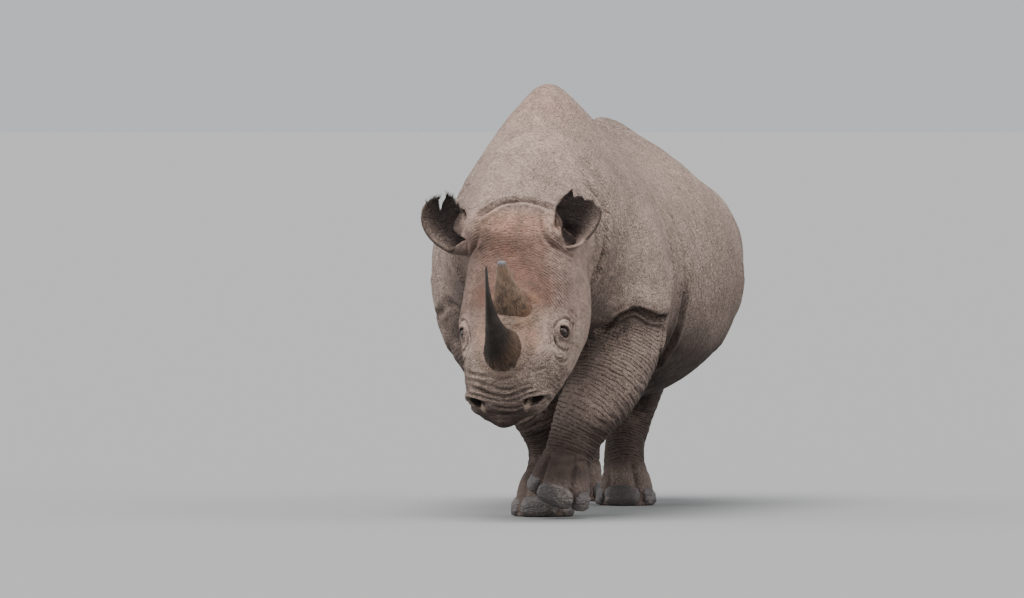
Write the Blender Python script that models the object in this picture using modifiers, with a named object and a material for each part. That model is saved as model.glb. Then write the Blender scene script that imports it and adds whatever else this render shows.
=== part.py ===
"""A life-size black rhinoceros in mid stride, as a still model.

Metres, +Z up. The animal faces -Y and its left side is +X. It is laid out with the origin on the
floor under the withers; at the end an empty carries the whole model, so that the origin lies on the
floor under the middle of the bounding box.

The hide is lofted from cross-sections: the trunk with the neck, the head, four legs and a tail. The
lofts are fused into one smooth body. Thin slabs divide it where a person would name its parts. The
horns, ears, eyes and toenails are solids of their own that sit in pockets of the hide.
"""

from math import cos, pi, radians, sin

import bmesh
import bpy
import numpy as np
from mathutils import Matrix, Vector
from mathutils.bvhtree import BVHTree

# ---------------------------------------------------------------- driving dimensions

GAP = 0.0003                    # between pieces that touch
CUT = 0.0005                    # thickness of the slabs that divide the body
SPECK = 0.01                    # a loose chip of the cuts smaller than this is dropped
FUSE_SIZE = 0.021               # voxel size that fuses the lofts into one body
BODY_TRIANGLES = 2800           # of the fused body, before it is divided
SPINE_RIDGE = 0.035             # the backbone's height above the round of the back
SPINE_WIDTH = 0.075             # half width of that ridge
TOE_ANGLE = radians(60)         # from the middle toe to a side toe
TOE_SWELL = 0.10                # how far a toe stands out of the round of the foot
SOLE_DEPTH = -0.04              # the legs run this far below the floor before the soles are cut

# Trunk and neck. Each station is a cross-section at one distance behind the withers:
# y, top, bottom, half width, height of the widest point, fullness above it, fullness below it.
TRUNK = [
    (1.78, 1.08, 0.96, 0.06, 1.03, 2.0, 2.0),
    (1.73, 1.16, 0.86, 0.17, 1.01, 1.9, 2.0),
    (1.62, 1.25, 0.74, 0.30, 0.96, 1.9, 2.0),
    (1.45, 1.325, 0.62, 0.40, 0.92, 1.75, 2.1),
    (1.25, 1.36, 0.50, 0.47, 0.88, 1.55, 2.1),
    (1.00, 1.385, 0.41, 0.52, 0.85, 1.65, 2.1),
    (0.75, 1.36, 0.38, 0.525, 0.82, 1.6, 2.1),
    (0.50, 1.36, 0.40, 0.505, 0.82, 1.5, 2.1),
    (0.25, 1.43, 0.46, 0.455, 0.86, 1.4, 2.1),
    (0.05, 1.545, 0.52, 0.425, 0.88, 1.3, 2.1),
    (-0.08, 1.552, 0.56, 0.395, 0.90, 1.3, 2.0),
    (-0.22, 1.465, 0.62, 0.345, 0.95, 1.45, 2.0),
    (-0.36, 1.36, 0.70, 0.295, 1.00, 1.7, 2.0),
    (-0.50, 1.25, 0.80, 0.24, 1.03, 1.9, 2.0),
    (-0.62, 1.155, 0.90, 0.19, 1.04, 2.1, 2.0),
    (-0.67, 1.11, 0.95, 0.13, 1.04, 2.0, 2.0),
]
RIDGE_FROM, RIDGE_TO = 0.15, 1.62   # the stretch of the back that carries the spine ridge

# Head. Its line starts at the poll and runs down to the lip; a station is
# distance along it, top, bottom, half width, height of the widest point, fullness above, below.
POLL = Vector((0.014, -0.52, 1.058))
HEAD_PITCH = radians(65)
HEAD_YAW = radians(3)           # nose towards the animal's right
HEAD_ROLL = radians(3)          # crown leaning towards the animal's right
HEAD = [
    (-0.06, 0.06, -0.12, 0.08, -0.02, 2.0, 2.0),
    (-0.03, 0.115, -0.20, 0.15, -0.04, 2.2, 2.0),
    (0.04, 0.135, -0.25, 0.178, -0.07, 2.4, 2.0),
    (0.14, 0.108, -0.28, 0.206, -0.11, 2.4, 2.0),
    (0.25, 0.096, -0.285, 0.232, -0.13, 2.1, 2.0),
    (0.35, 0.108, -0.27, 0.234, -0.13, 1.9, 2.0),
    (0.44, 0.095, -0.245, 0.217, -0.125, 1.9, 2.1),
    (0.53, 0.094, -0.215, 0.191, -0.11, 2.0, 2.2),
    (0.61, 0.055, -0.185, 0.163, -0.09, 2.2, 2.2),
    (0.67, 0.005, -0.165, 0.140, -0.08, 2.3, 2.2),
    (0.715, -0.035, -0.145, 0.095, -0.09, 2.2, 2.2),
    (0.745, -0.065, -0.12, 0.03, -0.09, 2.0, 2.0),
]
MUZZLE_TURN = 0.022             # how far the muzzle's end lies towards the animal's right

# Legs and tail. A station is a point of the limb's line with the section round it:
# x, y, z, half width, depth in front of the line, depth behind it, strength of the toes.
FORE_LEFT = [
    (0.20, 0.0, 1.10, 0.12, 0.16, 0.20, 0),
    (0.25, -0.02, 0.95, 0.165, 0.22, 0.25, 0),
    (0.278, -0.03, 0.80, 0.155, 0.20, 0.25, 0),
    (0.280, -0.02, 0.68, 0.141, 0.165, 0.20, 0),
    (0.258, -0.06, 0.57, 0.139, 0.14, 0.155, 0),
    (0.213, -0.13, 0.45, 0.131, 0.12, 0.12, 0),
    (0.168, -0.175, 0.37, 0.117, 0.115, 0.105, 0),
    (0.128, -0.195, 0.285, 0.096, 0.09, 0.09, 0),
    (0.104, -0.215, 0.215, 0.090, 0.09, 0.09, 0.2),
    (0.0915, -0.235, 0.16, 0.106, 0.105, 0.105, 0.6),
    (0.083, -0.235, 0.12, 0.115, 0.12, 0.11, 1.0),
    (0.075, -0.225, 0.08, 0.110, 0.115, 0.105, 1.0),
]
FORE_RIGHT = [
    (-0.20, 0.02, 1.10, 0.12, 0.16, 0.20, 0),
    (-0.25, 0.00, 0.95, 0.165, 0.22, 0.25, 0),
    (-0.270, 0.01, 0.80, 0.152, 0.20, 0.25, 0),
    (-0.262, 0.04, 0.68, 0.137, 0.16, 0.20, 0),
    (-0.195, 0.03, 0.55, 0.122, 0.13, 0.145, 0),
    (-0.088, 0.02, 0.43, 0.104, 0.11, 0.11, 0),
    (-0.036, 0.01, 0.355, 0.097, 0.108, 0.10, 0),
    (-0.002, 0.03, 0.25, 0.082, 0.083, 0.087, 0),
    (-0.006, 0.03, 0.16, 0.083, 0.09, 0.09, 0.2),
    (-0.018, 0.00, 0.085, 0.103, 0.12, 0.11, 0.7),
    (-0.018, -0.005, 0.03, 0.110, 0.133, 0.11, 1.0),
    (-0.018, -0.005, SOLE_DEPTH, 0.106, 0.128, 0.105, 1.0),
]
HIND_LEFT = [
    (0.19, 1.36, 1.10, 0.17, 0.28, 0.30, 0),
    (0.245, 1.32, 0.94, 0.20, 0.34, 0.34, 0),
    (0.260, 1.24, 0.78, 0.185, 0.29, 0.33, 0),
    (0.205, 1.17, 0.62, 0.145, 0.19, 0.24, 0),
    (0.115, 1.20, 0.50, 0.105, 0.12, 0.15, 0),
    (0.072, 1.26, 0.39, 0.090, 0.095, 0.125, 0),
    (0.048, 1.26, 0.30, 0.082, 0.085, 0.10, 0),
    (0.040, 1.22, 0.20, 0.074, 0.08, 0.085, 0.1),
    (0.050, 1.18, 0.13, 0.082, 0.09, 0.09, 0.4),
    (0.063, 1.155, 0.07, 0.102, 0.115, 0.105, 0.8),
    (0.065, 1.15, 0.025, 0.107, 0.125, 0.105, 1.0),
    (0.065, 1.15, SOLE_DEPTH, 0.102, 0.12, 0.10, 1.0),
]
HIND_RIGHT = [
    (-0.19, 1.38, 1.10, 0.17, 0.28, 0.28, 0),
    (-0.26, 1.36, 0.94, 0.20, 0.36, 0.32, 0),
    (-0.28, 1.33, 0.78, 0.185, 0.29, 0.31, 0),
    (-0.26, 1.39, 0.64, 0.15, 0.20, 0.23, 0),
    (-0.24, 1.50, 0.50, 0.115, 0.125, 0.15, 0),
    (-0.22, 1.62, 0.40, 0.098, 0.095, 0.12, 0),
    (-0.21, 1.64, 0.30, 0.086, 0.085, 0.095, 0),
    (-0.20, 1.62, 0.20, 0.078, 0.08, 0.085, 0.1),
    (-0.20, 1.60, 0.13, 0.085, 0.09, 0.09, 0.4),
    (-0.20, 1.58, 0.07, 0.102, 0.115, 0.105, 0.8),
    (-0.20, 1.575, 0.025, 0.107, 0.125, 0.105, 1.0),
    (-0.20, 1.575, SOLE_DEPTH, 0.102, 0.12, 0.10, 1.0),
]
TAIL = [
    (0.0, 1.68, 1.19, 0.055, 0.05, 0.05, 0),
    (0.0, 1.765, 1.165, 0.045, 0.045, 0.045, 0),
    (0.0, 1.83, 1.09, 0.038, 0.038, 0.038, 0),
    (0.002, 1.865, 0.98, 0.033, 0.033, 0.033, 0),
    (0.015, 1.875, 0.85, 0.028, 0.028, 0.028, 0),
    (0.035, 1.865, 0.70, 0.026, 0.030, 0.030, 0),
    (0.05, 1.855, 0.60, 0.024, 0.034, 0.034, 0),
    (0.06, 1.845, 0.50, 0.010, 0.012, 0.012, 0),
]

# Horns: place on the head (along, across, up), length, half width, half depth, curl over the
# length, lean forward and towards the right, sharpness of the taper, radius left at the tip.
FRONT_HORN = dict(place=(0.520, -0.006, 0.035), length=0.412, width=0.072, depth=0.080,
                  curl=1.05, forward=0.12, lean=radians(-2.0), taper=1.9, tip=0.06)
REAR_HORN = dict(place=(0.388, 0.016, 0.064), length=0.184, width=0.075, depth=0.050,
                 curl=0.45, forward=-0.45, lean=radians(3), taper=1.15, tip=0.2)

# Eyes and ears, placed on the head (along, across, up).
EYE_RADIUS = 0.0235
EYE_PLACE = (0.425, 0.173, -0.012)
EAR_ROOT = (0.105, 0.115, 0.02)
EAR_REACH = {"left": (0.095, 0.20), "right": (0.172, 0.19)}   # the tip's way out and up
EAR_WIDTH = 0.080               # half width of the cup where it is widest
EAR_WALL = 0.011                # thickness of the cup's wall
EAR_FLATNESS = 0.55             # depth of the cup against its width
EAR_FACES = (0.19, -0.98, 0.0)  # the way the cups open
EAR_OPENING = 0.022             # how far the hollow stands out of the cup's front

# Toenails: half width, half depth, half height, of the middle and of a side toe.
MIDDLE_NAIL = (0.066, 0.030, 0.042)
SIDE_NAIL = (0.038, 0.024, 0.038)
NAIL_LIFT = 0.003               # the nails end this far above the sole
NAIL_INSET = 0.013              # the nail's middle lies this far inside the foot's outline
NAIL_SLOPE = radians(15)        # lean of the nail's face, back at the top
FOOT_ROLL = radians(12)         # the lifted foot's toes drop towards the animal's left

# Where thin sheets divide the body. Upright cuts run through two points (y, z) of the middle
# plane, the jaw's through two points (along, up) of the head, the tail's across its line.
HEAD_CUT = (-0.57, 1.35), (-0.262, 0.58)
NECK_CUT = (-0.24, 1.70), (-0.24, 0.58)
JAW_CUT = (0.80, -0.077), (0.06, -0.2276)
TAIL_CUTS = {"tail": (1.04, 0.075), "tuft": (0.68, 0.05)}      # height and radius

# Each leg leaves the belly on a plane that climbs outward, and backward behind the belly:
# x range, y range, height at the origin, slope along x, slope along y.
BELLY_CUTS = {
    "fore_left": ((0.055, 0.52), (-0.36, 0.34), 0.43, 0.6, -0.35),
    "fore_right": ((-0.52, 0.05), (-0.36, 0.34), 0.43, -0.6, -0.35),
    "hind_left": ((-0.02, 0.52), (0.78, 1.72), -0.11, 0.35, 0.45),
    "hind_right": ((-0.52, -0.06), (0.78, 1.72), -0.11, -0.35, 0.45),
}
JOINT_RADIUS = 0.155            # of the round cut through a wrist or hock
ANKLE_RADIUS = 0.122            # of the round cut above a foot

HIDE = ("hide", (0.22, 0.17, 0.14), 0.85)
HORN = ("horn", (0.055, 0.05, 0.045), 0.55)
NAIL = ("nail", (0.22, 0.20, 0.18), 0.6)
EYE = ("eye", (0.02, 0.012, 0.008), 0.08)
HAIR = ("hair", (0.03, 0.025, 0.02), 0.7)

# Each leg: its stations, and the heights of the wrist or hock cut, the ankle cut and the sole.
LEGS = {
    "fore_left": (FORE_LEFT, 0.40, 0.235, 0.08),
    "fore_right": (FORE_RIGHT, 0.33, 0.17, 0.0),
    "hind_left": (HIND_LEFT, 0.35, 0.165, 0.0),
    "hind_right": (HIND_RIGHT, 0.40, 0.165, 0.0),
}


# ---------------------------------------------------------------- plain helpers

def collection(name):
    made = bpy.data.collections.new(name)
    bpy.context.scene.collection.children.link(made)
    return made


def material(spec):
    """The Principled material of a (name, colour, roughness) triple, made once."""
    name, colour, roughness = spec
    made = bpy.data.materials.get(name)
    if made is None:
        made = bpy.data.materials.new(name)
        made.use_nodes = True
        shader = made.node_tree.nodes["Principled BSDF"]
        shader.inputs["Base Color"].default_value = (*colour, 1.0)
        shader.inputs["Roughness"].default_value = roughness
        shader.inputs["Metallic"].default_value = 0.0
    return made


def add_object(name, mesh, group, spec=None):
    mesh.name = name
    made = bpy.data.objects.new(name, mesh)
    group.objects.link(made)
    if spec:
        mesh.materials.clear()
        mesh.materials.append(material(spec))
    else:
        made.hide_render = True
        made.display_type = "WIRE"
    return made


def spline(stations, samples, axes):
    """A smooth curve through the stations, sampled evenly along its first columns' length."""
    rows = np.asarray(stations, dtype=float)
    steps = np.linalg.norm(np.diff(rows[:, :axes], axis=0), axis=1)
    length = np.concatenate([[0.0], np.cumsum(steps)])
    slope = np.gradient(rows, length, axis=0)
    at = np.linspace(0.0, length[-1], samples)
    i = np.clip(np.searchsorted(length, at, side="right") - 1, 0, len(length) - 2)
    span = (length[i + 1] - length[i])[:, None]
    t = (at - length[i])[:, None] / span
    return ((2 * t**3 - 3 * t**2 + 1) * rows[i] + (t**3 - 2 * t**2 + t) * span * slope[i]
            + (3 * t**2 - 2 * t**3) * rows[i + 1] + (t**3 - t**2) * span * slope[i + 1])


def loft(name, rings, group, spec=None):
    """A closed mesh through rings of points (rows x around x 3), with a flat cap at each end."""
    rows, around = rings.shape[:2]
    faces = []
    for row in range(rows - 1):
        for j in range(around):
            a, b = row * around + j, row * around + (j + 1) % around
            faces.append((a, b, b + around, a + around))
    faces.append(tuple(range(around - 1, -1, -1)))
    faces.append(tuple(range((rows - 1) * around, rows * around)))
    mesh = bpy.data.meshes.new(name)
    mesh.from_pydata(rings.reshape(-1, 3).tolist(), [], faces)
    tidy(mesh)
    return add_object(name, mesh, group, spec)


def tidy(mesh):
    """Triangulates a closed mesh, so that every face is flat, and turns its faces outward."""
    work = bmesh.new()
    work.from_mesh(mesh)
    bmesh.ops.triangulate(work, faces=work.faces)
    if work.calc_volume(signed=True) < 0:
        bmesh.ops.reverse_faces(work, faces=work.faces)
    work.to_mesh(mesh)
    work.free()


def evaluated_mesh(source):
    """A mesh of its own, as the modifiers leave it."""
    graph = bpy.context.evaluated_depsgraph_get()
    return bpy.data.meshes.new_from_object(source.evaluated_get(graph))


def settle(target):
    """Replaces an object's mesh by what its modifiers make of it, and drops them."""
    mesh = evaluated_mesh(target)
    tidy(mesh)
    target.modifiers.clear()
    target.data = mesh


def subtract(target, cutter):
    cut = target.modifiers.new("cut_" + cutter.name, "BOOLEAN")
    cut.operation = "DIFFERENCE"
    cut.object = cutter
    settle(target)


def adopt(name, group, spec=None):
    """Names the object a primitive operator has just made, and moves it to its collection."""
    made = bpy.context.object
    made.name = name
    for owner in list(made.users_collection):
        owner.objects.unlink(made)
    group.objects.link(made)
    if spec:
        made.data.materials.append(material(spec))
        made.data.shade_smooth()
    else:
        made.hide_render = True
        made.display_type = "WIRE"
    return made


def slab(name, group, frame, size):
    """A box of the given size about the middle of a frame."""
    bpy.ops.mesh.primitive_cube_add(size=1.0)
    made = adopt(name, group)
    made.data.transform(frame @ Matrix.Diagonal((*size, 1)))
    return made


# ---------------------------------------------------------------- cross-sections

def signed_power(value, exponent):
    return np.sign(value) * np.abs(value) ** exponent


def sections(stations, around):
    """Across and up coordinates of superellipse sections whose halves meet at the widest point."""
    _, top, bottom, half, widest, above, below = (c[:, None] for c in stations.T)
    angle = np.linspace(0, 2 * pi, around, endpoint=False)[None, :]
    upper = np.cos(angle) >= 0
    fullness = np.where(upper, above, below)
    reach = np.where(upper, top - widest, widest - bottom)
    across = half * signed_power(np.sin(angle), 2 / fullness)
    up = widest + reach * signed_power(np.cos(angle), 2 / fullness)
    return across, up


def trunk(group):
    rows = spline(TRUNK, 60, 1)
    across, up = sections(rows, 48)
    along = np.broadcast_to(rows[:, :1], across.shape)
    middle, reach = (RIDGE_FROM + RIDGE_TO) / 2, (RIDGE_TO - RIDGE_FROM) / 2
    fade = np.clip(1 - ((along - middle) / reach) ** 4, 0, 1)
    above = np.clip((up - rows[:, 4:5]) / (rows[:, 1:2] - rows[:, 4:5]), 0, 1)
    up = up + SPINE_RIDGE * fade * above * np.exp(-(across / SPINE_WIDTH) ** 2)
    return loft("trunk_form", np.stack([across, along, up], -1), group)


def head_axes():
    """The head's own directions: along it to the lip, across to its left, and up from the nose."""
    along = Vector((-sin(HEAD_YAW) * cos(HEAD_PITCH), -cos(HEAD_YAW) * cos(HEAD_PITCH),
                    -sin(HEAD_PITCH)))
    across = Vector((cos(HEAD_YAW), -sin(HEAD_YAW), 0))
    up = along.cross(across)
    roll = Matrix.Rotation(HEAD_ROLL, 3, along)
    return along, roll @ across, roll @ up


def on_head(place):
    """The point at some distances along, across and up from the poll."""
    along, across, up = head_axes()
    return POLL + place[0] * along + place[1] * across + place[2] * up


def head(group):
    rows = spline(HEAD, 44, 1)
    across, up = sections(rows, 48)
    onward = np.clip((rows[:, :1] - 0.50) / 0.22, 0, 1)
    across = across - MUZZLE_TURN * onward ** 2 * (3 - 2 * onward)
    axes = [np.array(axis) for axis in head_axes()]
    rings = (np.array(POLL) + rows[:, :1, None] * axes[0] + across[..., None] * axes[1]
             + up[..., None] * axes[2])
    return loft("head_form", rings, group)


def limb(name, stations, group):
    """A leg or tail: sections square to its line, with three toes swelling out at the foot."""
    rows = spline(stations, 50, 3)
    line = rows[:, :3]
    tangent = np.gradient(line, axis=0)
    tangent /= np.linalg.norm(tangent, axis=1, keepdims=True)
    side = np.cross((0.0, -1.0, 0.0), tangent)
    side /= np.linalg.norm(side, axis=1, keepdims=True)
    front = np.cross(tangent, side)
    angle = np.linspace(0, 2 * pi, 32, endpoint=False)
    depth = np.where(np.cos(angle) >= 0, rows[:, 4:5], rows[:, 5:6])
    away = [np.angle(np.exp(1j * (angle - toe))) for toe in (0, TOE_ANGLE, -TOE_ANGLE)]
    toes = sum(np.exp(-(a / 0.36) ** 2) for a in away)
    swell = 1 + rows[:, 6:7] * TOE_SWELL * (toes - 0.75)
    forward = (np.cos(angle) * depth * swell)[..., None]
    sideways = (np.sin(angle) * rows[:, 3:4] * swell)[..., None]
    rings = line[:, None] + front[:, None] * forward + side[:, None] * sideways
    return loft(name, rings, group)


def limb_frame(stations, height):
    """The frame of a limb's section where its line comes down to a height: z up the line."""
    rows = spline(stations, 200, 3)[::-1]
    near = [np.array([np.interp(z, rows[:, 2], rows[:, i]) for i in range(3)])
            for z in (height - 0.01, height, height + 0.01)]
    upward = Vector(near[2] - near[0]).normalized()
    side = Vector((0, -1, 0)).cross(-upward).normalized()
    back = upward.cross(side)
    frame = Matrix((side, back, upward)).transposed().to_4x4()
    frame.translation = Vector(near[1])
    return frame


def foot_frame(stations, sole):
    """The frame of a foot's sole: level if it is planted, rolled over the leg if it is lifted."""
    if sole == 0:
        return Matrix.Translation((*stations[-1][:2], 0))
    return limb_frame(stations, sole) @ Matrix.Rotation(FOOT_ROLL, 4, "Y")


# ---------------------------------------------------------------- horns, ears, eyes, nails

def horn(name, group, spec, grow, place, length, width, depth, curl, forward, lean, taper, tip):
    """A horn on the nose: an oval section that tapers along an arc curling back to the poll."""
    along, across, up = (np.array(axis) for axis in head_axes())
    start = up * cos(forward) + along * sin(forward) - across * sin(lean)
    start /= np.linalg.norm(start)
    s = np.linspace(0, 1, 13)
    turn = curl * s
    heading = np.cos(turn)[:, None] * start - np.sin(turn)[:, None] * along
    line = np.array(on_head(place)) + np.cumsum(heading * length / (len(s) - 1), axis=0)
    line[0] -= heading[0] * grow
    line[-1] += heading[-1] * grow
    normal = np.cos(turn)[:, None] * along + np.sin(turn)[:, None] * start
    size = tip + (1 - tip) * (1 - s) ** taper
    size[-1] *= 0.35
    angle = np.linspace(0, 2 * pi, 12, endpoint=False)
    wide = (np.sin(angle) * (width * size + grow)[:, None])[..., None]
    deep = (np.cos(angle) * (depth * size + grow)[:, None])[..., None]
    rings = line[:, None] + across * wide + normal[:, None] * deep
    return loft(name, rings, group, spec)


def ear_line(side):
    """Points, directions and half widths along an ear, from inside the head to its tip."""
    sign = 1 if side == "left" else -1
    along, across, up = (np.array(axis) for axis in head_axes())
    rise = np.array((0.0, 0.0, 1.0))
    out = sign * across
    reach, height = EAR_REACH[side]
    stations = [(0.0, 0.0), (0.035, 0.008), (reach * 0.72, height * 0.25),
                (reach, height * 0.62), (reach * 0.93, height)]
    t = spline(stations, 10, 2)
    root = np.array(on_head((EAR_ROOT[0], sign * EAR_ROOT[1], EAR_ROOT[2])))
    points = root + t[:, :1] * out + t[:, 1:2] * rise
    s = np.linspace(0, 1, len(t))
    bulge = np.sin(pi * np.clip((s - 0.18) / 0.92, 0, 1) ** 0.95)
    width = 0.028 + (EAR_WIDTH - 0.028) * bulge
    width[-1] *= 0.55
    return points, width


def ear_rings(side, grow=0.0):
    """Rings of an ear's egg, flattened from front to back."""
    points, width = ear_line(side)
    tangent = np.gradient(points, axis=0)
    tangent /= np.linalg.norm(tangent, axis=1, keepdims=True)
    across = np.cross(tangent, EAR_FACES)
    across /= np.linalg.norm(across, axis=1, keepdims=True)
    face = np.cross(across, tangent)
    wide = width + grow
    deep = EAR_FLATNESS * width + 0.010 + grow
    angle = np.linspace(0, 2 * pi, 10, endpoint=False)
    return (points[:, None] + (np.sin(angle) * wide[:, None])[..., None] * across[:, None]
            + (np.cos(angle) * deep[:, None])[..., None] * face[:, None])


def ear(side, group, cutters):
    """A cup: the ear's egg, hollowed by a smaller egg that breaks out of its front."""
    made = loft("ear_" + side, ear_rings(side), group, HIDE)
    hollow = ear_rings(side, -EAR_WALL)[3:-1] + EAR_OPENING * np.array(EAR_FACES)
    subtract(made, loft("ear_hollow_" + side, hollow, cutters))


def ear_pocket(side, cutters):
    loft("ear_pocket_" + side, ear_rings(side, GAP), cutters)


def eye(side, group, cutters):
    """An eyeball and the round socket that holds it."""
    sign = 1 if side == "left" else -1
    middle = on_head((EYE_PLACE[0], sign * EYE_PLACE[1], EYE_PLACE[2]))
    for name, owner, spec, radius in (("eye_" + side, group, EYE, EYE_RADIUS),
                                      ("eye_socket_" + side, cutters, None, EYE_RADIUS + GAP)):
        bpy.ops.mesh.primitive_uv_sphere_add(segments=12, ring_count=6, radius=radius,
                                             location=middle)
        adopt(name, owner, spec)


def nail(name, foot, toe, size, group, cutters):
    """A toenail: a rounded shield let into the front of a toe, and the pocket that takes it."""
    frame, width, depth = foot
    half_width, half_depth, half_height = size
    turned = frame @ Matrix.Rotation(toe, 4, "Z")
    reach = ((width * sin(toe)) ** 2 + (depth * cos(toe)) ** 2) ** 0.5 - NAIL_INSET
    for label, owner, spec, grow in (("", group, NAIL, 0.0), ("_pocket", cutters, None, GAP)):
        bpy.ops.mesh.primitive_uv_sphere_add(segments=8, ring_count=6, radius=1.0)
        piece = adopt(name + label, owner, spec)
        shape = Matrix.Diagonal((half_width + grow, half_depth + grow, half_height + grow, 1))
        place = Matrix.Translation((0, -reach, NAIL_LIFT + half_height * 0.75))
        piece.data.transform(turned @ place @ Matrix.Rotation(-NAIL_SLOPE, 4, "X") @ shape)
    below = turned @ Matrix.Translation((0, -reach, NAIL_LIFT - 0.05))
    base = slab(name + "_base", bases, below, (0.2, 0.2, 0.1))
    subtract(bpy.data.objects[name], base)


# ---------------------------------------------------------------- dividing the body

def level_cut(name, group, x_range, y_range, height, slope_x, slope_y):
    """A thin sheet over a rectangle, at a height that slopes outward and backward."""
    (x0, x1), (y0, y1) = x_range, y_range
    size_x, size_y = x1 - x0, y1 - y0
    middle_x, middle_y = (x0 + x1) / 2, (y0 + y1) / 2
    sheet = Matrix(((size_x, 0, 0, middle_x),
                    (0, size_y, 0, middle_y),
                    (slope_x * size_x, slope_y * size_y, CUT * 1.2,
                     height + slope_x * middle_x + slope_y * middle_y),
                    (0, 0, 0, 1)))
    return slab(name, group, sheet, (1, 1, 1))


def round_cut(name, group, frame, radius):
    """A thin disc square to a limb's line."""
    bpy.ops.mesh.primitive_cylinder_add(vertices=24, radius=radius, depth=CUT)
    made = adopt(name, group)
    made.data.transform(frame)
    return made


def upright_cut(name, group, high, low):
    """A thin sheet across the body through two points (y, z) of the middle plane."""
    (y0, z0), (y1, z1) = high, low
    length = ((y1 - y0) ** 2 + (z1 - z0) ** 2) ** 0.5
    down = Vector((0, y1 - y0, z1 - z0)) / length
    across = Vector((1, 0, 0))
    frame = Matrix((across, down, across.cross(down))).transposed().to_4x4()
    frame.translation = Vector((0, (y0 + y1) / 2, (z0 + z1) / 2))
    return slab(name, group, frame, (1.2, length, CUT))


def jaw_cut(group):
    """The sheet between the head and the lower jaw, from the lips back to the throat."""
    front, back = (on_head((along, 0, up)) for along, up in JAW_CUT)
    line = (front - back).normalized()
    across = line.cross(head_axes()[2]).normalized()
    frame = Matrix((across, line, across.cross(line))).transposed().to_4x4()
    frame.translation = (front + back) / 2
    slab("cut_jaw", group, frame, (0.7, (front - back).length, CUT))


def cut_sheets(group):
    upright_cut("cut_head", group, *HEAD_CUT)
    upright_cut("cut_neck", group, *NECK_CUT)
    jaw_cut(group)
    for name, (height, radius) in TAIL_CUTS.items():
        round_cut("cut_" + name, group, limb_frame(TAIL, height), radius)
    for name, plane in BELLY_CUTS.items():
        level_cut("cut_" + name, group, *plane)
    for name, (stations, joint, ankle, _) in LEGS.items():
        round_cut("cut_%s_joint" % name, group, limb_frame(stations, joint), JOINT_RADIUS)
        round_cut("cut_%s_ankle" % name, group, limb_frame(stations, ankle), ANKLE_RADIUS)


def anchors():
    """A point well inside each part of the divided body."""
    points = {"head": on_head((0.30, 0, 0)), "lower_jaw": on_head((0.45, 0, -0.195)),
              "neck": Vector((0, -0.37, 1.05)), "trunk": Vector((0, 0.6, 0.9)),
              "tail": limb_frame(TAIL, 0.85).translation,
              "tail_tuft": limb_frame(TAIL, 0.60).translation}
    for name, (stations, joint, ankle, sole) in LEGS.items():
        points["%s_upper_leg" % name] = limb_frame(stations, joint + 0.06).translation
        points["%s_lower_leg" % name] = limb_frame(stations, (joint + ankle) / 2).translation
        points["%s_foot" % name] = limb_frame(stations, sole + 0.05).translation
    return points


def encloses(tree, point):
    """True where a ray straight up from the point leaves the piece an odd number of times."""
    crossings = 0
    start = Vector(point)
    while True:
        hit, _, _, _ = tree.ray_cast(start, Vector((0, 0, 1)))
        if hit is None:
            return crossings % 2 == 1
        crossings += 1
        start = hit + Vector((0, 0, 1e-5))


def divide(body, group):
    """Separates the loose pieces, drops specks, and names each after the anchor inside it."""
    bpy.ops.object.select_all(action="DESELECT")
    body.select_set(True)
    bpy.context.view_layer.objects.active = body
    bpy.ops.mesh.separate(type="LOOSE")
    wanted = anchors()
    for piece in [o for o in group.objects if o.name.startswith("hide")]:
        tree = BVHTree.FromPolygons([v.co for v in piece.data.vertices],
                                    [f.vertices for f in piece.data.polygons])
        inside = [name for name, point in wanted.items() if encloses(tree, point)]
        if not inside and max(piece.dimensions) < SPECK:
            bpy.data.objects.remove(piece)
            continue
        assert len(inside) == 1, "%s holds the anchors %s" % (piece.name, inside)
        piece.name = piece.data.name = inside[0]
        del wanted[inside[0]]
    assert not wanted, "parts without a piece: %s" % sorted(wanted)


# ---------------------------------------------------------------- the animal

def fused_body(group, forms):
    """The lofts as one smooth body, its planted soles cut flat at the floor."""
    trunk(forms)
    head(forms)
    limb("tail_form", TAIL, forms)
    for name, (stations, _, _, _) in LEGS.items():
        limb(name + "_form", stations, forms)
    vertices, faces = [], []
    for form in forms.objects:
        start = len(vertices)
        vertices += [tuple(v.co) for v in form.data.vertices]
        faces += [tuple(start + i for i in f.vertices) for f in form.data.polygons]
    mesh = bpy.data.meshes.new("hide")
    mesh.from_pydata(vertices, [], faces)
    body = add_object("hide", mesh, group, HIDE)
    fuse = body.modifiers.new("fuse", "REMESH")
    fuse.mode = "VOXEL"
    fuse.voxel_size = FUSE_SIZE
    smooth = body.modifiers.new("smooth", "SMOOTH")
    smooth.factor = 0.5
    smooth.iterations = 5
    settle(body)
    body.data.calc_loop_triangles()
    thin = body.modifiers.new("thin", "DECIMATE")
    thin.ratio = BODY_TRIANGLES / len(body.data.loop_triangles)
    settle(body)
    subtract(body, slab("floor", bases, Matrix.Translation((0, 0.6, -0.25)), (2, 4, 0.5)))
    return body


def cut_all(target, cutters):
    """Subtracts everything in a collection."""
    cut = target.modifiers.new("cut", "BOOLEAN")
    cut.operation = "DIFFERENCE"
    cut.operand_type = "COLLECTION"
    cut.collection = cutters
    settle(target)


def stand_on_origin(group):
    """Carries the model on an empty, so that the origin is under the middle of its box."""
    points = np.array([o.matrix_world @ v.co for o in group.objects for v in o.data.vertices])
    low, high = points.min(axis=0), points.max(axis=0)
    empty = bpy.data.objects.new("stand_point", None)
    group.objects.link(empty)
    for piece in group.objects:
        if piece is not empty:
            piece.parent = empty
    empty.location = (-(low[0] + high[0]) / 2, -(low[1] + high[1]) / 2, -low[2])


for old in list(bpy.data.objects):
    bpy.data.objects.remove(old, do_unlink=True)

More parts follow.
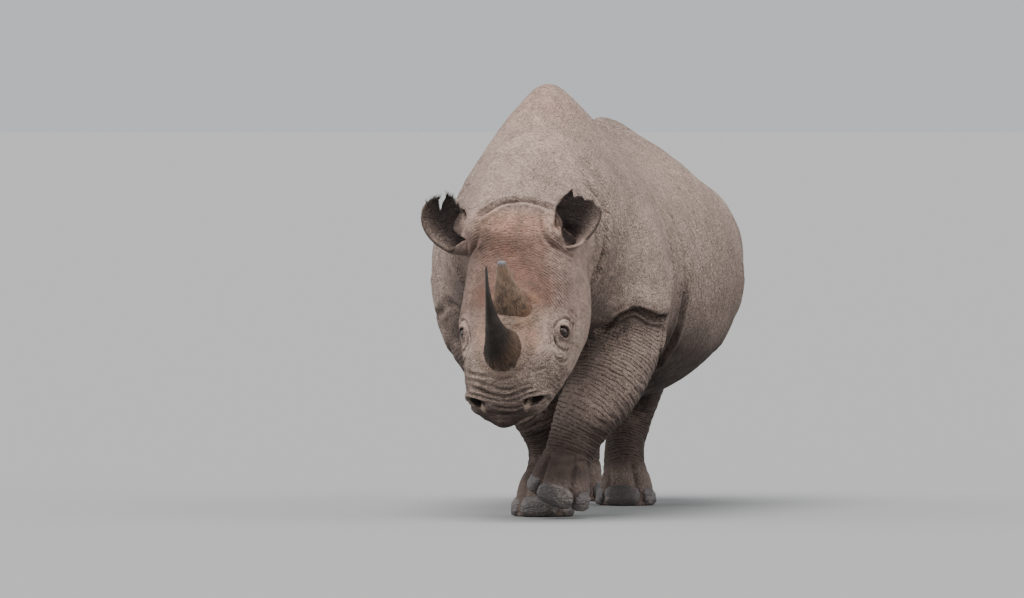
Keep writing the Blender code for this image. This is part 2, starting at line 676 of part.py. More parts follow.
animal = collection("rhinoceros")
forms = collection("forms")
pockets = collection("pockets")
sheets = collection("sheets")
bases = collection("bases")

body = fused_body(animal, forms)
horn("horn_front", animal, HORN, 0.0, **FRONT_HORN)
horn("horn_front_pocket", pockets, None, GAP, **FRONT_HORN)
horn("horn_rear", animal, HORN, 0.0, **REAR_HORN)
horn("horn_rear_pocket", pockets, None, GAP, **REAR_HORN)
for side in ("left", "right"):
    ear(side, animal, bases)
    ear_pocket(side, pockets)
    eye(side, animal, pockets)
for name, (stations, _, _, sole) in LEGS.items():
    foot = (foot_frame(stations, sole), stations[-1][3], stations[-1][4])
    for toe, place in ((0, "middle"), (TOE_ANGLE, "left"), (-TOE_ANGLE, "right")):
        size = MIDDLE_NAIL if place == "middle" else SIDE_NAIL
        nail("%s_nail_%s" % (name, place), foot, toe, size, animal, pockets)

cut_sheets(sheets)
cut_all(body, pockets)
cut_all(body, sheets)
divide(body, animal)
bpy.data.objects["tail_tuft"].data.materials[0] = material(HAIR)
stand_on_origin(animal)
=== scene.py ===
"""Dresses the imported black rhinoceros: one wrinkled hide over all its nodes of flesh, with horns,
toenails, eyes, the fringe of the ears and the bristles of the tail as pieces of their own.

Lengths are metres. Shapes are worked out in the animal's own coordinates, with the origin on the
floor under the withers, +Z up and the head towards -Y, and moved to the frame at the end.
"""

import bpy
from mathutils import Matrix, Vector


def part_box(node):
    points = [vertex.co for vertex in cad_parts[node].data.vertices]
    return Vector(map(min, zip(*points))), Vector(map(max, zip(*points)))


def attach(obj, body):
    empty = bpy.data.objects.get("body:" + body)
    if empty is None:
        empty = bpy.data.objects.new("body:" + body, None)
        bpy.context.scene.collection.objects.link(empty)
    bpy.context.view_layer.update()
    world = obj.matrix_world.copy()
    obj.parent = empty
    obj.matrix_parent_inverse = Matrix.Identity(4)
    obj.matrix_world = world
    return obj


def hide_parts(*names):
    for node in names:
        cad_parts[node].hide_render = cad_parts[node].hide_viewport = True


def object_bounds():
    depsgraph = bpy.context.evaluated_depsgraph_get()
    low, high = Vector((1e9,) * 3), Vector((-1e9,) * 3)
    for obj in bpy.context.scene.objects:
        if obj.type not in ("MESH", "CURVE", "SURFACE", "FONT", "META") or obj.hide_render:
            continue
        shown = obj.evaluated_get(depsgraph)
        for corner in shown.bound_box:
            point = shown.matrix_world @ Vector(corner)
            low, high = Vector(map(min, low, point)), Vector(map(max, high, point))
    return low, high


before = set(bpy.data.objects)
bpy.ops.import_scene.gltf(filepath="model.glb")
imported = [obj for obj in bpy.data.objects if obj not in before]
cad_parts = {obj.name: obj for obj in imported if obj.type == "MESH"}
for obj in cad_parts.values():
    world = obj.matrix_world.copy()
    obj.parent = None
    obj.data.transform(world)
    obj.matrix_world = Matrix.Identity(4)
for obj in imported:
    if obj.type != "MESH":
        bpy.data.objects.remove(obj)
CAD_BOX = [list(corner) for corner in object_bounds()]

from math import cos, pi, radians, sin

import bmesh
import bpy
import numpy as np

# ---------------------------------------------------------------- the animal's stations

# y, top, bottom, half width, height of the widest point, fullness above it, fullness below it
TRUNK = [
    (1.78, 1.08, 0.96, 0.06, 1.03, 2.0, 2.0),
    (1.73, 1.16, 0.86, 0.17, 1.01, 1.9, 2.0),
    (1.62, 1.25, 0.74, 0.30, 0.96, 1.9, 2.0),
    (1.45, 1.325, 0.62, 0.40, 0.92, 1.75, 2.1),
    (1.25, 1.36, 0.50, 0.47, 0.88, 1.55, 2.1),
    (1.00, 1.385, 0.41, 0.52, 0.85, 1.65, 2.1),
    (0.75, 1.36, 0.38, 0.525, 0.82, 1.6, 2.1),
    (0.50, 1.36, 0.40, 0.505, 0.82, 1.5, 2.1),
    (0.25, 1.43, 0.46, 0.455, 0.86, 1.4, 2.1),
    (0.05, 1.545, 0.52, 0.425, 0.88, 1.3, 2.1),
    (-0.08, 1.552, 0.56, 0.395, 0.90, 1.3, 2.0),
    (-0.22, 1.465, 0.62, 0.345, 0.95, 1.45, 2.0),
    (-0.36, 1.36, 0.70, 0.295, 1.00, 1.7, 2.0),
    (-0.50, 1.25, 0.80, 0.24, 1.03, 1.9, 2.0),
    (-0.62, 1.155, 0.90, 0.19, 1.04, 2.1, 2.0),
    (-0.67, 1.11, 0.95, 0.13, 1.04, 2.0, 2.0),
]
RIDGE_FROM, RIDGE_TO = 0.15, 1.62
SPINE_RIDGE, SPINE_WIDTH = 0.035, 0.075

# distance along the head, top, bottom, half width, height of the widest point, fullness above it
# and below it
POLL = np.array((0.014, -0.52, 1.058))
HEAD_PITCH, HEAD_YAW, HEAD_ROLL = radians(65), radians(3), radians(3)
HEAD = [
    (-0.06, 0.06, -0.12, 0.08, -0.02, 2.0, 2.0),
    (-0.03, 0.115, -0.20, 0.15, -0.04, 2.2, 2.0),
    (0.04, 0.135, -0.25, 0.178, -0.07, 2.4, 2.0),
    (0.14, 0.108, -0.28, 0.206, -0.11, 2.4, 2.0),
    (0.25, 0.096, -0.285, 0.232, -0.13, 2.1, 2.0),
    (0.35, 0.108, -0.27, 0.234, -0.13, 1.9, 2.0),
    (0.44, 0.095, -0.245, 0.217, -0.125, 1.9, 2.1),
    (0.53, 0.094, -0.215, 0.191, -0.11, 2.0, 2.2),
    (0.61, 0.055, -0.185, 0.163, -0.09, 2.2, 2.2),
    (0.67, 0.005, -0.165, 0.140, -0.08, 2.3, 2.2),
    (0.715, -0.035, -0.145, 0.095, -0.09, 2.2, 2.2),
    (0.745, -0.065, -0.12, 0.03, -0.09, 2.0, 2.0),
]
MUZZLE_TURN = 0.022             # how far the muzzle's end lies towards the animal's right

# x, y, z of a limb's line, half width, depth in front of it, depth behind it, strength of the toes
SOLE_DEPTH = -0.04
FORE_LEFT = [
    (0.20, 0.0, 1.10, 0.12, 0.16, 0.20, 0),
    (0.25, -0.02, 0.95, 0.165, 0.22, 0.25, 0),
    (0.278, -0.03, 0.80, 0.155, 0.20, 0.25, 0),
    (0.280, -0.02, 0.68, 0.141, 0.165, 0.20, 0),
    (0.258, -0.06, 0.57, 0.139, 0.14, 0.155, 0),
    (0.213, -0.13, 0.45, 0.131, 0.12, 0.12, 0),
    (0.168, -0.175, 0.37, 0.117, 0.115, 0.105, 0),
    (0.128, -0.195, 0.285, 0.096, 0.09, 0.09, 0),
    (0.104, -0.215, 0.215, 0.090, 0.09, 0.09, 0.2),
    (0.0915, -0.235, 0.16, 0.106, 0.105, 0.105, 0.6),
    (0.083, -0.235, 0.12, 0.115, 0.12, 0.11, 1.0),
    (0.075, -0.225, 0.08, 0.110, 0.115, 0.105, 1.0),
]
FORE_RIGHT = [
    (-0.20, 0.02, 1.10, 0.12, 0.16, 0.20, 0),
    (-0.25, 0.00, 0.95, 0.165, 0.22, 0.25, 0),
    (-0.270, 0.01, 0.80, 0.152, 0.20, 0.25, 0),
    (-0.262, 0.04, 0.68, 0.137, 0.16, 0.20, 0),
    (-0.195, 0.03, 0.55, 0.122, 0.13, 0.145, 0),
    (-0.088, 0.02, 0.43, 0.104, 0.11, 0.11, 0),
    (-0.036, 0.01, 0.355, 0.097, 0.108, 0.10, 0),
    (-0.002, 0.03, 0.25, 0.082, 0.083, 0.087, 0),
    (-0.006, 0.03, 0.16, 0.083, 0.09, 0.09, 0.2),
    (-0.018, 0.00, 0.085, 0.103, 0.12, 0.11, 0.7),
    (-0.018, -0.005, 0.03, 0.110, 0.133, 0.11, 1.0),
    (-0.018, -0.005, SOLE_DEPTH, 0.106, 0.128, 0.105, 1.0),
]
HIND_LEFT = [
    (0.19, 1.36, 1.10, 0.17, 0.28, 0.30, 0),
    (0.245, 1.32, 0.94, 0.20, 0.34, 0.34, 0),
    (0.260, 1.24, 0.78, 0.185, 0.29, 0.33, 0),
    (0.205, 1.17, 0.62, 0.145, 0.19, 0.24, 0),
    (0.115, 1.20, 0.50, 0.105, 0.12, 0.15, 0),
    (0.072, 1.26, 0.39, 0.090, 0.095, 0.125, 0),
    (0.048, 1.26, 0.30, 0.082, 0.085, 0.10, 0),
    (0.040, 1.22, 0.20, 0.074, 0.08, 0.085, 0.1),
    (0.050, 1.18, 0.13, 0.082, 0.09, 0.09, 0.4),
    (0.063, 1.155, 0.07, 0.102, 0.115, 0.105, 0.8),
    (0.065, 1.15, 0.025, 0.107, 0.125, 0.105, 1.0),
    (0.065, 1.15, SOLE_DEPTH, 0.102, 0.12, 0.10, 1.0),
]
HIND_RIGHT = [
    (-0.19, 1.38, 1.10, 0.17, 0.28, 0.28, 0),
    (-0.26, 1.36, 0.94, 0.20, 0.36, 0.32, 0),
    (-0.28, 1.33, 0.78, 0.185, 0.29, 0.31, 0),
    (-0.26, 1.39, 0.64, 0.15, 0.20, 0.23, 0),
    (-0.24, 1.50, 0.50, 0.115, 0.125, 0.15, 0),
    (-0.22, 1.62, 0.40, 0.098, 0.095, 0.12, 0),
    (-0.21, 1.64, 0.30, 0.086, 0.085, 0.095, 0),
    (-0.20, 1.62, 0.20, 0.078, 0.08, 0.085, 0.1),
    (-0.20, 1.60, 0.13, 0.085, 0.09, 0.09, 0.4),
    (-0.20, 1.58, 0.07, 0.102, 0.115, 0.105, 0.8),
    (-0.20, 1.575, 0.025, 0.107, 0.125, 0.105, 1.0),
    (-0.20, 1.575, SOLE_DEPTH, 0.102, 0.12, 0.10, 1.0),
]
TAIL = [
    (0.0, 1.68, 1.19, 0.055, 0.05, 0.05, 0),
    (0.0, 1.765, 1.165, 0.045, 0.045, 0.045, 0),
    (0.0, 1.83, 1.09, 0.038, 0.038, 0.038, 0),
    (0.002, 1.865, 0.98, 0.033, 0.033, 0.033, 0),
    (0.015, 1.875, 0.85, 0.028, 0.028, 0.028, 0),
    (0.035, 1.865, 0.70, 0.026, 0.030, 0.030, 0),
    (0.05, 1.855, 0.60, 0.024, 0.030, 0.030, 0),
    (0.055, 1.850, 0.56, 0.012, 0.014, 0.014, 0),
]
# each leg's stations and the height of its sole
LEGS = {"fore_left": (FORE_LEFT, 0.08), "fore_right": (FORE_RIGHT, 0.0),
        "hind_left": (HIND_LEFT, 0.0), "hind_right": (HIND_RIGHT, 0.0)}

TOE_ANGLE, TOE_SWELL = radians(60), 0.10
EYE_RADIUS = 0.0235
EYE_PLACE = (0.425, 0.173, -0.012)      # along, across and up from the poll
EAR_ROOT = (0.105, 0.115, 0.02)
EAR_REACH = {"left": (0.095, 0.20), "right": (0.172, 0.19)}
EAR_TUBE, EAR_WIDTH, EAR_FLATNESS = 0.044, 0.080, 0.55
EAR_FACES = np.array((0.19, -0.98, 0.0))
FRONT_HORN = dict(place=(0.520, -0.006, 0.035), length=0.412, width=0.072, depth=0.080,
                  curl=1.05, forward=0.12, lean=radians(-2.0), taper=1.9, tip=0.06)
REAR_HORN = dict(place=(0.388, 0.016, 0.064), length=0.184, width=0.075, depth=0.050,
                 curl=0.45, forward=-0.45, lean=radians(3), taper=1.15, tip=0.2)
MIDDLE_NAIL = (0.066, 0.030, 0.042)     # half width, half depth, half height
SIDE_NAIL = (0.038, 0.024, 0.038)
NAIL_LIFT, NAIL_INSET, NAIL_SLOPE, FOOT_ROLL = 0.003, 0.013, radians(15), radians(12)
TAIL_SHARE = 0.93                       # the tail's thickness over its loft's

# how finely the shapes are worked out: the cell of the remesh, which later splits halve up to
# three times, samples along lines, and rows and columns of grids
FUSE_SIZE = 0.024
TRUNK_GRID, HEAD_GRID, LIMB_GRID, PATH_SAMPLES = (110, 96), (90, 96), (90, 48), 40
LIMB_SAMPLES, TUFT_SAMPLES, EAR_SAMPLES = 220, 200, 80
HIDE_EAR_GRID, RIM_EAR_GRID = (36, 65), (72, 71)
HORN_GRID, HORN_FOOT_RINGS, NAIL_GRID, EYE_GRID = (150, 120), 8, (41, 72), (40, 56)
BRISTLE_RINGS, BRISTLE_SIDES = 5, 3


# ---------------------------------------------------------------- small mathematics

def smooth(value, low, high):
    """0 below low, 1 above high, and 3t^2 - 2t^3 in between."""
    t = np.clip((value - low) / (high - low), 0, 1)
    return t * t * (3 - 2 * t)


def signed_power(value, exponent):
    """A power of the value's size that keeps its sign."""
    return np.sign(value) * np.abs(value) ** exponent


def unit(vectors):
    """The vectors at length 1."""
    return vectors / np.maximum(np.linalg.norm(vectors, axis=-1, keepdims=True), 1e-12)


LATTICE = np.random.default_rng(7).random((32, 32, 32))


def noise(points, scale):
    """Smooth noise from -1 to 1: random values on a cubic lattice, blended by smooth steps."""
    place = np.asarray(points) * scale
    cell = np.floor(place).astype(int)
    t = place - cell
    t = t * t * (3 - 2 * t)
    total = np.zeros(len(place))
    for corner in np.ndindex(2, 2, 2):
        weight = np.prod(np.where(corner, t, 1 - t), axis=1)
        i, j, k = ((cell + corner) % 32).T
        total += weight * LATTICE[i, j, k]
    return 2 * total - 1


def spline(stations, samples, axes):
    """A cubic Hermite curve through the stations, even along its first columns' length."""
    rows = np.asarray(stations, dtype=float)
    steps = np.linalg.norm(np.diff(rows[:, :axes], axis=0), axis=1)
    length = np.concatenate([[0.0], np.cumsum(steps)])
    slope = np.gradient(rows, length, axis=0)
    at = np.linspace(0.0, length[-1], samples)
    i = np.clip(np.searchsorted(length, at, side="right") - 1, 0, len(length) - 2)
    span = (length[i + 1] - length[i])[:, None]
    t = (at - length[i])[:, None] / span
    return ((2 * t**3 - 3 * t**2 + 1) * rows[i] + (t**3 - 2 * t**2 + t) * span * slope[i]
            + (3 * t**2 - 2 * t**3) * rows[i + 1] + (t**3 - t**2) * span * slope[i + 1])


# ---------------------------------------------------------------- places on the animal

def turned(vector, axis, angle):
    """A vector turned about a unit axis by Rodrigues' formula."""
    return (vector * cos(angle) + np.cross(axis, vector) * sin(angle)
            + axis * (axis @ vector) * (1 - cos(angle)))


ALONG = np.array((-sin(HEAD_YAW) * cos(HEAD_PITCH), -cos(HEAD_YAW) * cos(HEAD_PITCH),
                  -sin(HEAD_PITCH)))
FLAT_ACROSS = np.array((cos(HEAD_YAW), -sin(HEAD_YAW), 0.0))
ACROSS = turned(FLAT_ACROSS, ALONG, HEAD_ROLL)
UP = turned(np.cross(ALONG, FLAT_ACROSS), ALONG, HEAD_ROLL)
HEAD_AXES = np.stack([ALONG, ACROSS, UP])


def on_head(place):
    """The point at distances along, across and up from the poll; the last axis holds the three."""
    return POLL + np.asarray(place, dtype=float) @ HEAD_AXES


def head_place(points):
    """Distances along, across and up from the poll."""
    return (points - POLL) @ HEAD_AXES.T


# from the animal's own coordinates to the frame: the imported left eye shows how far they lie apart
eye_low, eye_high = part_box("eye_left")
SHIFT = (np.array(eye_low) + np.array(eye_high)) / 2 - on_head(EYE_PLACE)


def limb_axes(line):
    """Directions down a limb's line, to its side and to its front."""
    down = unit(np.gradient(line, axis=0))
    side = unit(np.cross((0.0, -1.0, 0.0), down))
    return down, side, np.cross(down, side)


def nearest(points, line):
    """For every point, the number of the line's nearest sample and the gap from it."""
    gap = points[:, None] - line[None]
    n = np.argmin((gap ** 2).sum(axis=2), axis=1)
    return n, gap[np.arange(len(points)), n]


def limb_field(points, stations):
    """Length down the limb's line, angle round it from the front, and the distance from the line
    over the section's radius there, for every point, and the line's whole length."""
    rows = spline(stations, LIMB_SAMPLES, 3)
    line = rows[:, :3]
    down, side, front = limb_axes(line)
    travelled = np.concatenate([[0], np.cumsum(np.linalg.norm(np.diff(line, axis=0), axis=1))])
    length = np.zeros(len(points))
    angle = np.zeros(len(points))
    ratio = np.full(len(points), 9.0)
    low, high = line.min(axis=0) - 0.42, line.max(axis=0) + 0.42
    near = np.flatnonzero(((points > low) & (points < high)).all(axis=1))
    for part in np.array_split(near, max(1, len(near) // 8000)):
        n, offset = nearest(points[part], line)
        forward = (offset * front[n]).sum(axis=1)
        sideways = (offset * side[n]).sum(axis=1)
        depth = np.where(forward >= 0, rows[n, 4], rows[n, 5])
        angle[part] = np.arctan2(sideways / rows[n, 3], forward / depth)
        ratio[part] = np.hypot(sideways / rows[n, 3], forward / depth)
        length[part] = travelled[n] + (offset * down[n]).sum(axis=1)
    return length, angle, ratio, travelled[-1]


# ---------------------------------------------------------------- meshes as arrays

def rings_faces(rows, around, closed_ends=True):
    """Quads between rings of points, with one face over each end."""
    row = np.arange(rows - 1)[:, None] * around
    j = np.arange(around)[None]
    k = (j + 1) % around
    quads = np.stack([row + j, row + k, row + around + k, row + around + j], -1).reshape(-1, 4)
    faces = quads.tolist()
    if closed_ends:
        faces.append(list(range(around - 1, -1, -1)))
        faces.append(list(range((rows - 1) * around, rows * around)))
    return faces


def mesh_of(name, points, faces):
    """A mesh of flat triangles with its faces turned outward."""
    rough = bpy.data.meshes.new("rough")
    rough.from_pydata(np.asarray(points).reshape(-1, 3).tolist(), [], faces)
    work = bmesh.new()
    work.from_mesh(rough)
    bpy.data.meshes.remove(rough)
    bmesh.ops.triangulate(work, faces=work.faces)
    if work.calc_volume(signed=True) < 0:
        bmesh.ops.reverse_faces(work, faces=work.faces)
    return mesh_from(work, name)


def show(name, data):
    """An object of the scene that carries a mesh, a lamp or a lens."""
    made = bpy.data.objects.new(name, data)
    bpy.context.scene.collection.objects.link(made)
    return made


def mesh_from(work, name):
    """A mesh of a finished bmesh, which is freed."""
    mesh = bpy.data.meshes.new(name)
    work.to_mesh(mesh)
    work.free()
    return mesh


def evaluated(piece):
    """The mesh that a piece's modifiers leave."""
    graph = bpy.context.evaluated_depsgraph_get()
    return bpy.data.meshes.new_from_object(piece.evaluated_get(graph))


def read_points(mesh, what="co"):
    """The vertices' coordinates, or another of their vectors, one row each."""
    flat = np.empty(len(mesh.vertices) * 3)
    mesh.vertices.foreach_get(what, flat)
    return flat.reshape(-1, 3)


def read_normals(mesh):
    return read_points(mesh, "normal")


def read_edges(mesh):
    """The two vertex numbers of every edge."""
    flat = np.empty(len(mesh.edges) * 2, dtype=np.int32)
    mesh.edges.foreach_get("vertices", flat)
    return flat.reshape(-1, 2)


def write_points(mesh, points):
    """Moves the mesh's vertices to the points."""
    mesh.vertices.foreach_set("co", np.asarray(points, dtype=np.float32).ravel())
    mesh.update()


def neighbours_mean(values, edges, count):
    """The mean of each vertex's neighbours, for a whole array at once."""
    a, b = edges.T
    total = np.stack([np.bincount(a, column[b], len(values)) + np.bincount(b, column[a], len(values))
                      for column in values.T], -1)
    return total / count


def relax(points, edges, strength, rounds):
    """Moves every vertex towards the mean of its neighbours, by its strength, a few times."""
    count = np.maximum(np.bincount(edges.ravel(), minlength=len(points)), 1)[:, None]
    for _ in range(rounds):
        points = points + strength[:, None] * (neighbours_mean(points, edges, count) - points)
    return points


def add_values(mesh, name, values):
    """One number for every vertex, which the materials read by its name."""
    made = mesh.attributes.new(name, "FLOAT", "POINT")
    made.data.foreach_set("value", np.asarray(values, dtype=np.float32))


# ---------------------------------------------------------------- the bare body

def sections(stations, around):
    """Superellipse sections whose halves meet at the widest point: across, up."""
    _, top, bottom, half, widest, above, below = (c[:, None] for c in stations.T)
    angle = np.linspace(0, 2 * pi, around, endpoint=False)[None, :]
    upper = np.cos(angle) >= 0
    fullness = np.where(upper, above, below)
    reach = np.where(upper, top - widest, widest - bottom)
    across = half * signed_power(np.sin(angle), 2 / fullness)
    up = widest + reach * signed_power(np.cos(angle), 2 / fullness)
    return across, up


def trunk_rings():
    """Sections along y, with a Gaussian ridge over the spine."""
    samples, around = TRUNK_GRID
    rows = spline(TRUNK, samples, 1)
    across, up = sections(rows, around)
    along = np.broadcast_to(rows[:, :1], across.shape)
    middle, reach = (RIDGE_FROM + RIDGE_TO) / 2, (RIDGE_TO - RIDGE_FROM) / 2
    fade = np.clip(1 - ((along - middle) / reach) ** 4, 0, 1)
    above = np.clip((up - rows[:, 4:5]) / (rows[:, 1:2] - rows[:, 4:5]), 0, 1)
    up = up + SPINE_RIDGE * fade * above * np.exp(-(across / SPINE_WIDTH) ** 2)
    return np.stack([across, along, up], -1)


def head_rings():
    """Sections square to the head's own line."""
    samples, around = HEAD_GRID
    rows = spline(HEAD, samples, 1)
    across, up = sections(rows, around)
    across = across - MUZZLE_TURN * smooth(rows[:, :1], 0.50, 0.72)
    along = np.broadcast_to(rows[:, :1], across.shape)
    return on_head(np.stack([along, across, up], -1))


def limb_rings(stations):
    """Sections square to the limb's line; three Gaussian swellings round the foot are its toes."""
    samples, around = LIMB_GRID
    rows = spline(stations, samples, 3)
    line = rows[:, :3]
    _, side, front = limb_axes(line)
    angle = np.linspace(0, 2 * pi, around, endpoint=False)
    depth = np.where(np.cos(angle) >= 0, rows[:, 4:5], rows[:, 5:6])
    away = [np.angle(np.exp(1j * (angle - toe))) for toe in (0, TOE_ANGLE, -TOE_ANGLE)]
    toes = sum(np.exp(-(a / 0.36) ** 2) for a in away)
    swell = 1 + rows[:, 6:7] * TOE_SWELL * (toes - 0.75)
    forward = (np.cos(angle) * depth * swell)[..., None]
    sideways = (np.sin(angle) * rows[:, 3:4] * swell)[..., None]
    return line[:, None] + front[:, None] * forward + side[:, None] * sideways


def fused_body():
    """The lofts fused by a voxel remesh and smoothed."""
    points, faces, start = [], [], 0
    for rings in [trunk_rings(), head_rings(), limb_rings(TAIL)] + [
            limb_rings(stations) for stations, _ in LEGS.values()]:
        rows, around = rings.shape[:2]
        points.append(rings.reshape(-1, 3))
        faces += [[start + i for i in face] for face in rings_faces(rows, around)]
        start += rows * around
    mesh = bpy.data.meshes.new("forms")
    mesh.from_pydata(np.concatenate(points).tolist(), [], faces)
    work = bmesh.new()
    work.from_mesh(mesh)
    bmesh.ops.recalc_face_normals(work, faces=work.faces)
    work.to_mesh(mesh)
    work.free()
    piece = show("forms", mesh)
    fuse = piece.modifiers.new("fuse", "REMESH")
    fuse.mode = "VOXEL"
    fuse.voxel_size = FUSE_SIZE
    settle = piece.modifiers.new("settle", "SMOOTH")
    settle.factor = 0.5
    settle.iterations = 4
    made = evaluated(piece)
    bpy.data.objects.remove(piece)
    return made


def level_soles(work):
    """Cuts the body at the floor and closes the soles."""
    geometry = work.verts[:] + work.edges[:] + work.faces[:]
    bmesh.ops.bisect_plane(work, geom=geometry, plane_co=(0, 0, 0), plane_no=(0, 0, 1),
                           clear_inner=True)
    rim = [edge for edge in work.edges if edge.is_boundary]
    bmesh.ops.holes_fill(work, edges=rim, sides=0)


def face_centres(work):
    return np.array([face.calc_center_median() for face in work.faces])


def split_where(work, wanted):
    """Splits every edge of the wanted faces in two."""
    work.faces.ensure_lookup_table()
    edges = {edge for i in np.flatnonzero(wanted) for edge in work.faces[i].edges}
    bmesh.ops.subdivide_edges(work, edges=list(edges), cuts=1, use_grid_fill=True)


NOSTRILS = ((1, np.array((0.684, 0.092, -0.030))), (-1, np.array((0.680, -0.116, -0.034))))

# folds and creases of the left side: a path, the half width of the trough and its depth
FLANK_FOLDS = [
    ([(0.30, 0.24, 1.20), (0.36, 0.20, 1.10), (0.392, 0.159, 1.018), (0.423, 0.065, 0.895),
      (0.436, -0.01, 0.80), (0.43, -0.03, 0.735)], 0.018, 0.026),
    ([(0.39, 0.34, 1.08), (0.428, 0.285, 0.963), (0.448, 0.222, 0.830), (0.430, 0.262, 0.695),
      (0.38, 0.31, 0.60), (0.30, 0.37, 0.50)], 0.016, 0.026),
]
SHOULDER_FOLD = [(0.20, -0.20, 0.665), (0.242, -0.199, 0.694), (0.294, -0.211, 0.730),
                 (0.345, -0.196, 0.750), (0.396, -0.131, 0.726), (0.426, -0.026, 0.718)]
ELBOW_FOLD = [(0.432, -0.02, 0.722), (0.422, -0.02, 0.66), (0.40, -0.03, 0.60), (0.36, 0.02, 0.55)]
NECK_FOLDS = [
    ([(0.20, -0.42, 1.20), (0.262, -0.381, 1.11), (0.273, -0.40, 0.972), (0.258, -0.41, 0.86),
      (0.20, -0.40, 0.75)], 0.013, 0.022),
    ([(0.16, -0.34, 1.30), (0.27, -0.31, 1.16), (0.30, -0.30, 1.0), (0.29, -0.31, 0.86)],
     0.020, 0.009),
    ([(0.235, -0.47, 1.07), (0.25, -0.45, 0.97), (0.235, -0.46, 0.87)], 0.008, 0.006),
    ([(0.12, -0.28, 1.39), (0.25, -0.24, 1.24), (0.33, -0.22, 1.06), (0.34, -0.23, 0.92)],
     0.025, 0.006),
]
THIGH_FOLDS = [
    ([(0.47, 1.02, 0.95), (0.49, 1.0, 0.80), (0.42, 0.98, 0.62), (0.32, 0.99, 0.52)], 0.022, 0.016),
    ([(0.20, 1.62, 1.15), (0.30, 1.60, 0.98), (0.33, 1.58, 0.80)], 0.02, 0.010),
]
# the shoulder blade, the hip and the hollow of the flank: place, size and height
BODY_MOUNDS = [((0.36, 0.02, 1.10), (0.12, 0.13, 0.22), 0.012),
               ((0.44, 1.28, 1.00), (0.10, 0.20, 0.16), 0.012),
               ((0.50, 0.98, 1.10), (0.12, 0.12, 0.16), -0.012)]


def path_gap(points, path):
    """The distance from every point to a smooth path."""
    line = spline(path, PATH_SAMPLES, 3)
    return np.linalg.norm(points[:, None] - line[None], axis=2).min(axis=1)


def finely(centres):
    """Which faces are split at a first, second and third round."""
    a, x, z = head_place(centres).T
    head = (a > -0.08) & (np.abs(x) < 0.28) & (z > -0.33) & (centres[:, 1] < -0.30)
    limbs = np.zeros(len(centres), dtype=bool)
    for name, (stations, _) in LEGS.items():
        ratio = limb_field(centres, stations)[2]
        limbs |= (ratio < 1.25) & (centres[:, 2] < (0.74 if name.startswith("fore") else 0.58))
    shoulder = (centres[:, 0] > 0.12) & (centres[:, 1] < 0.42) & (centres[:, 2] < 1.2)
    tail = (centres[:, 1] > 1.80)
    back = (np.abs(centres[:, 0]) < 0.13) & (centres[:, 2] > 1.20) & (centres[:, 1] > 0.1)
    first = head | limbs | shoulder | tail | back
    face = head & (z > -0.085 - 0.085 * smooth(a, 0.45, 0.65)) & (a > -0.03)
    _, angle, ratio, _ = limb_field(centres, FORE_LEFT)
    fore_leg = (ratio < 1.2) & (centres[:, 2] < 0.66) & (centres[:, 1] < 0.0) & (np.abs(angle) < 2.2)
    second = face | fore_leg
    for path, _, _ in FLANK_FOLDS[:1] + NECK_FOLDS[:1]:
        second |= path_gap(centres, path) < 0.045
    second |= path_gap(centres, SHOULDER_FOLD) < 0.055
    third = np.zeros(len(centres), dtype=bool)
    for sign in (1, -1):
        place = head_place(centres) * (1, sign, 1)
        third |= np.linalg.norm(place - (0.434, 0.185, -0.014), axis=1) < 0.050
    for _, nostril in NOSTRILS:
        third |= np.linalg.norm(head_place(centres) - nostril, axis=1) < 0.047
    return first, second, third


def round_tail(points):
    """The tail's points set back on the loft's own surface, which the coarse remesh had dented."""
    rows = spline(TAIL, LIMB_SAMPLES, 3)
    _, side, front = limb_axes(rows[:, :3])
    n, gap = nearest(points, rows[:, :3])
    forward, sideways = (gap * front[n]).sum(axis=1), (gap * side[n]).sum(axis=1)
    depth = np.where(forward >= 0, rows[n, 4], rows[n, 5])
    ratio = np.hypot(forward / depth, sideways / rows[n, 3])
    share = (smooth(points[:, 1], 1.77, 1.83) * smooth(ratio, 0.4, 0.7)
             * (n < 0.93 * LIMB_SAMPLES) * (ratio < 2))
    across = forward[:, None] * front[n] + sideways[:, None] * side[n]
    return points + across * (share * (TAIL_SHARE / np.maximum(ratio, 0.3) - 1))[:, None]


def bare_hide():
    """The fused body with smaller faces where the hide has finer forms."""
    work = bmesh.new()
    work.from_mesh(fused_body())
    level_soles(work)
    for step in range(3):
        split_where(work, finely(face_centres(work))[step])
    bmesh.ops.triangulate(work, faces=work.faces)
    mesh = mesh_from(work, "hide")
    points = read_points(mesh)
    free = (points[:, 2] > 0.004).astype(float)
    points = relax(points, read_edges(mesh), 0.5 * free, 5)
    write_points(mesh, round_tail(points))
    return mesh


# ---------------------------------------------------------------- folds of the hide

def path_distance(points, normals, path):
    """Distance from each point to a smooth path, measured in the skin's own plane, the side of the
    path it lies on, and a factor that fades over the path's ends."""
    line = spline(path, PATH_SAMPLES, 3)
    gap = points[:, None] - line[None]
    gap -= 0.92 * (gap * normals[:, None]).sum(axis=2, keepdims=True) * normals[:, None]
    n = np.argmin((gap ** 2).sum(axis=2), axis=1)
    near = gap[np.arange(len(points)), n]
    heading = unit(np.gradient(line, axis=0))[n]
    run = (near * heading).sum(axis=1)
    inside = (n > 0) & (n < PATH_SAMPLES - 1)
    near = np.where(inside[:, None], near - run[:, None] * heading, near)
    distance = np.linalg.norm(near, axis=1)
    side = np.sign((np.cross(heading, near) * normals).sum(axis=1))
    t = n / (PATH_SAMPLES - 1)
    return distance, side, np.clip(np.minimum(t, 1 - t) / 0.14, 0, 1) ** 0.7


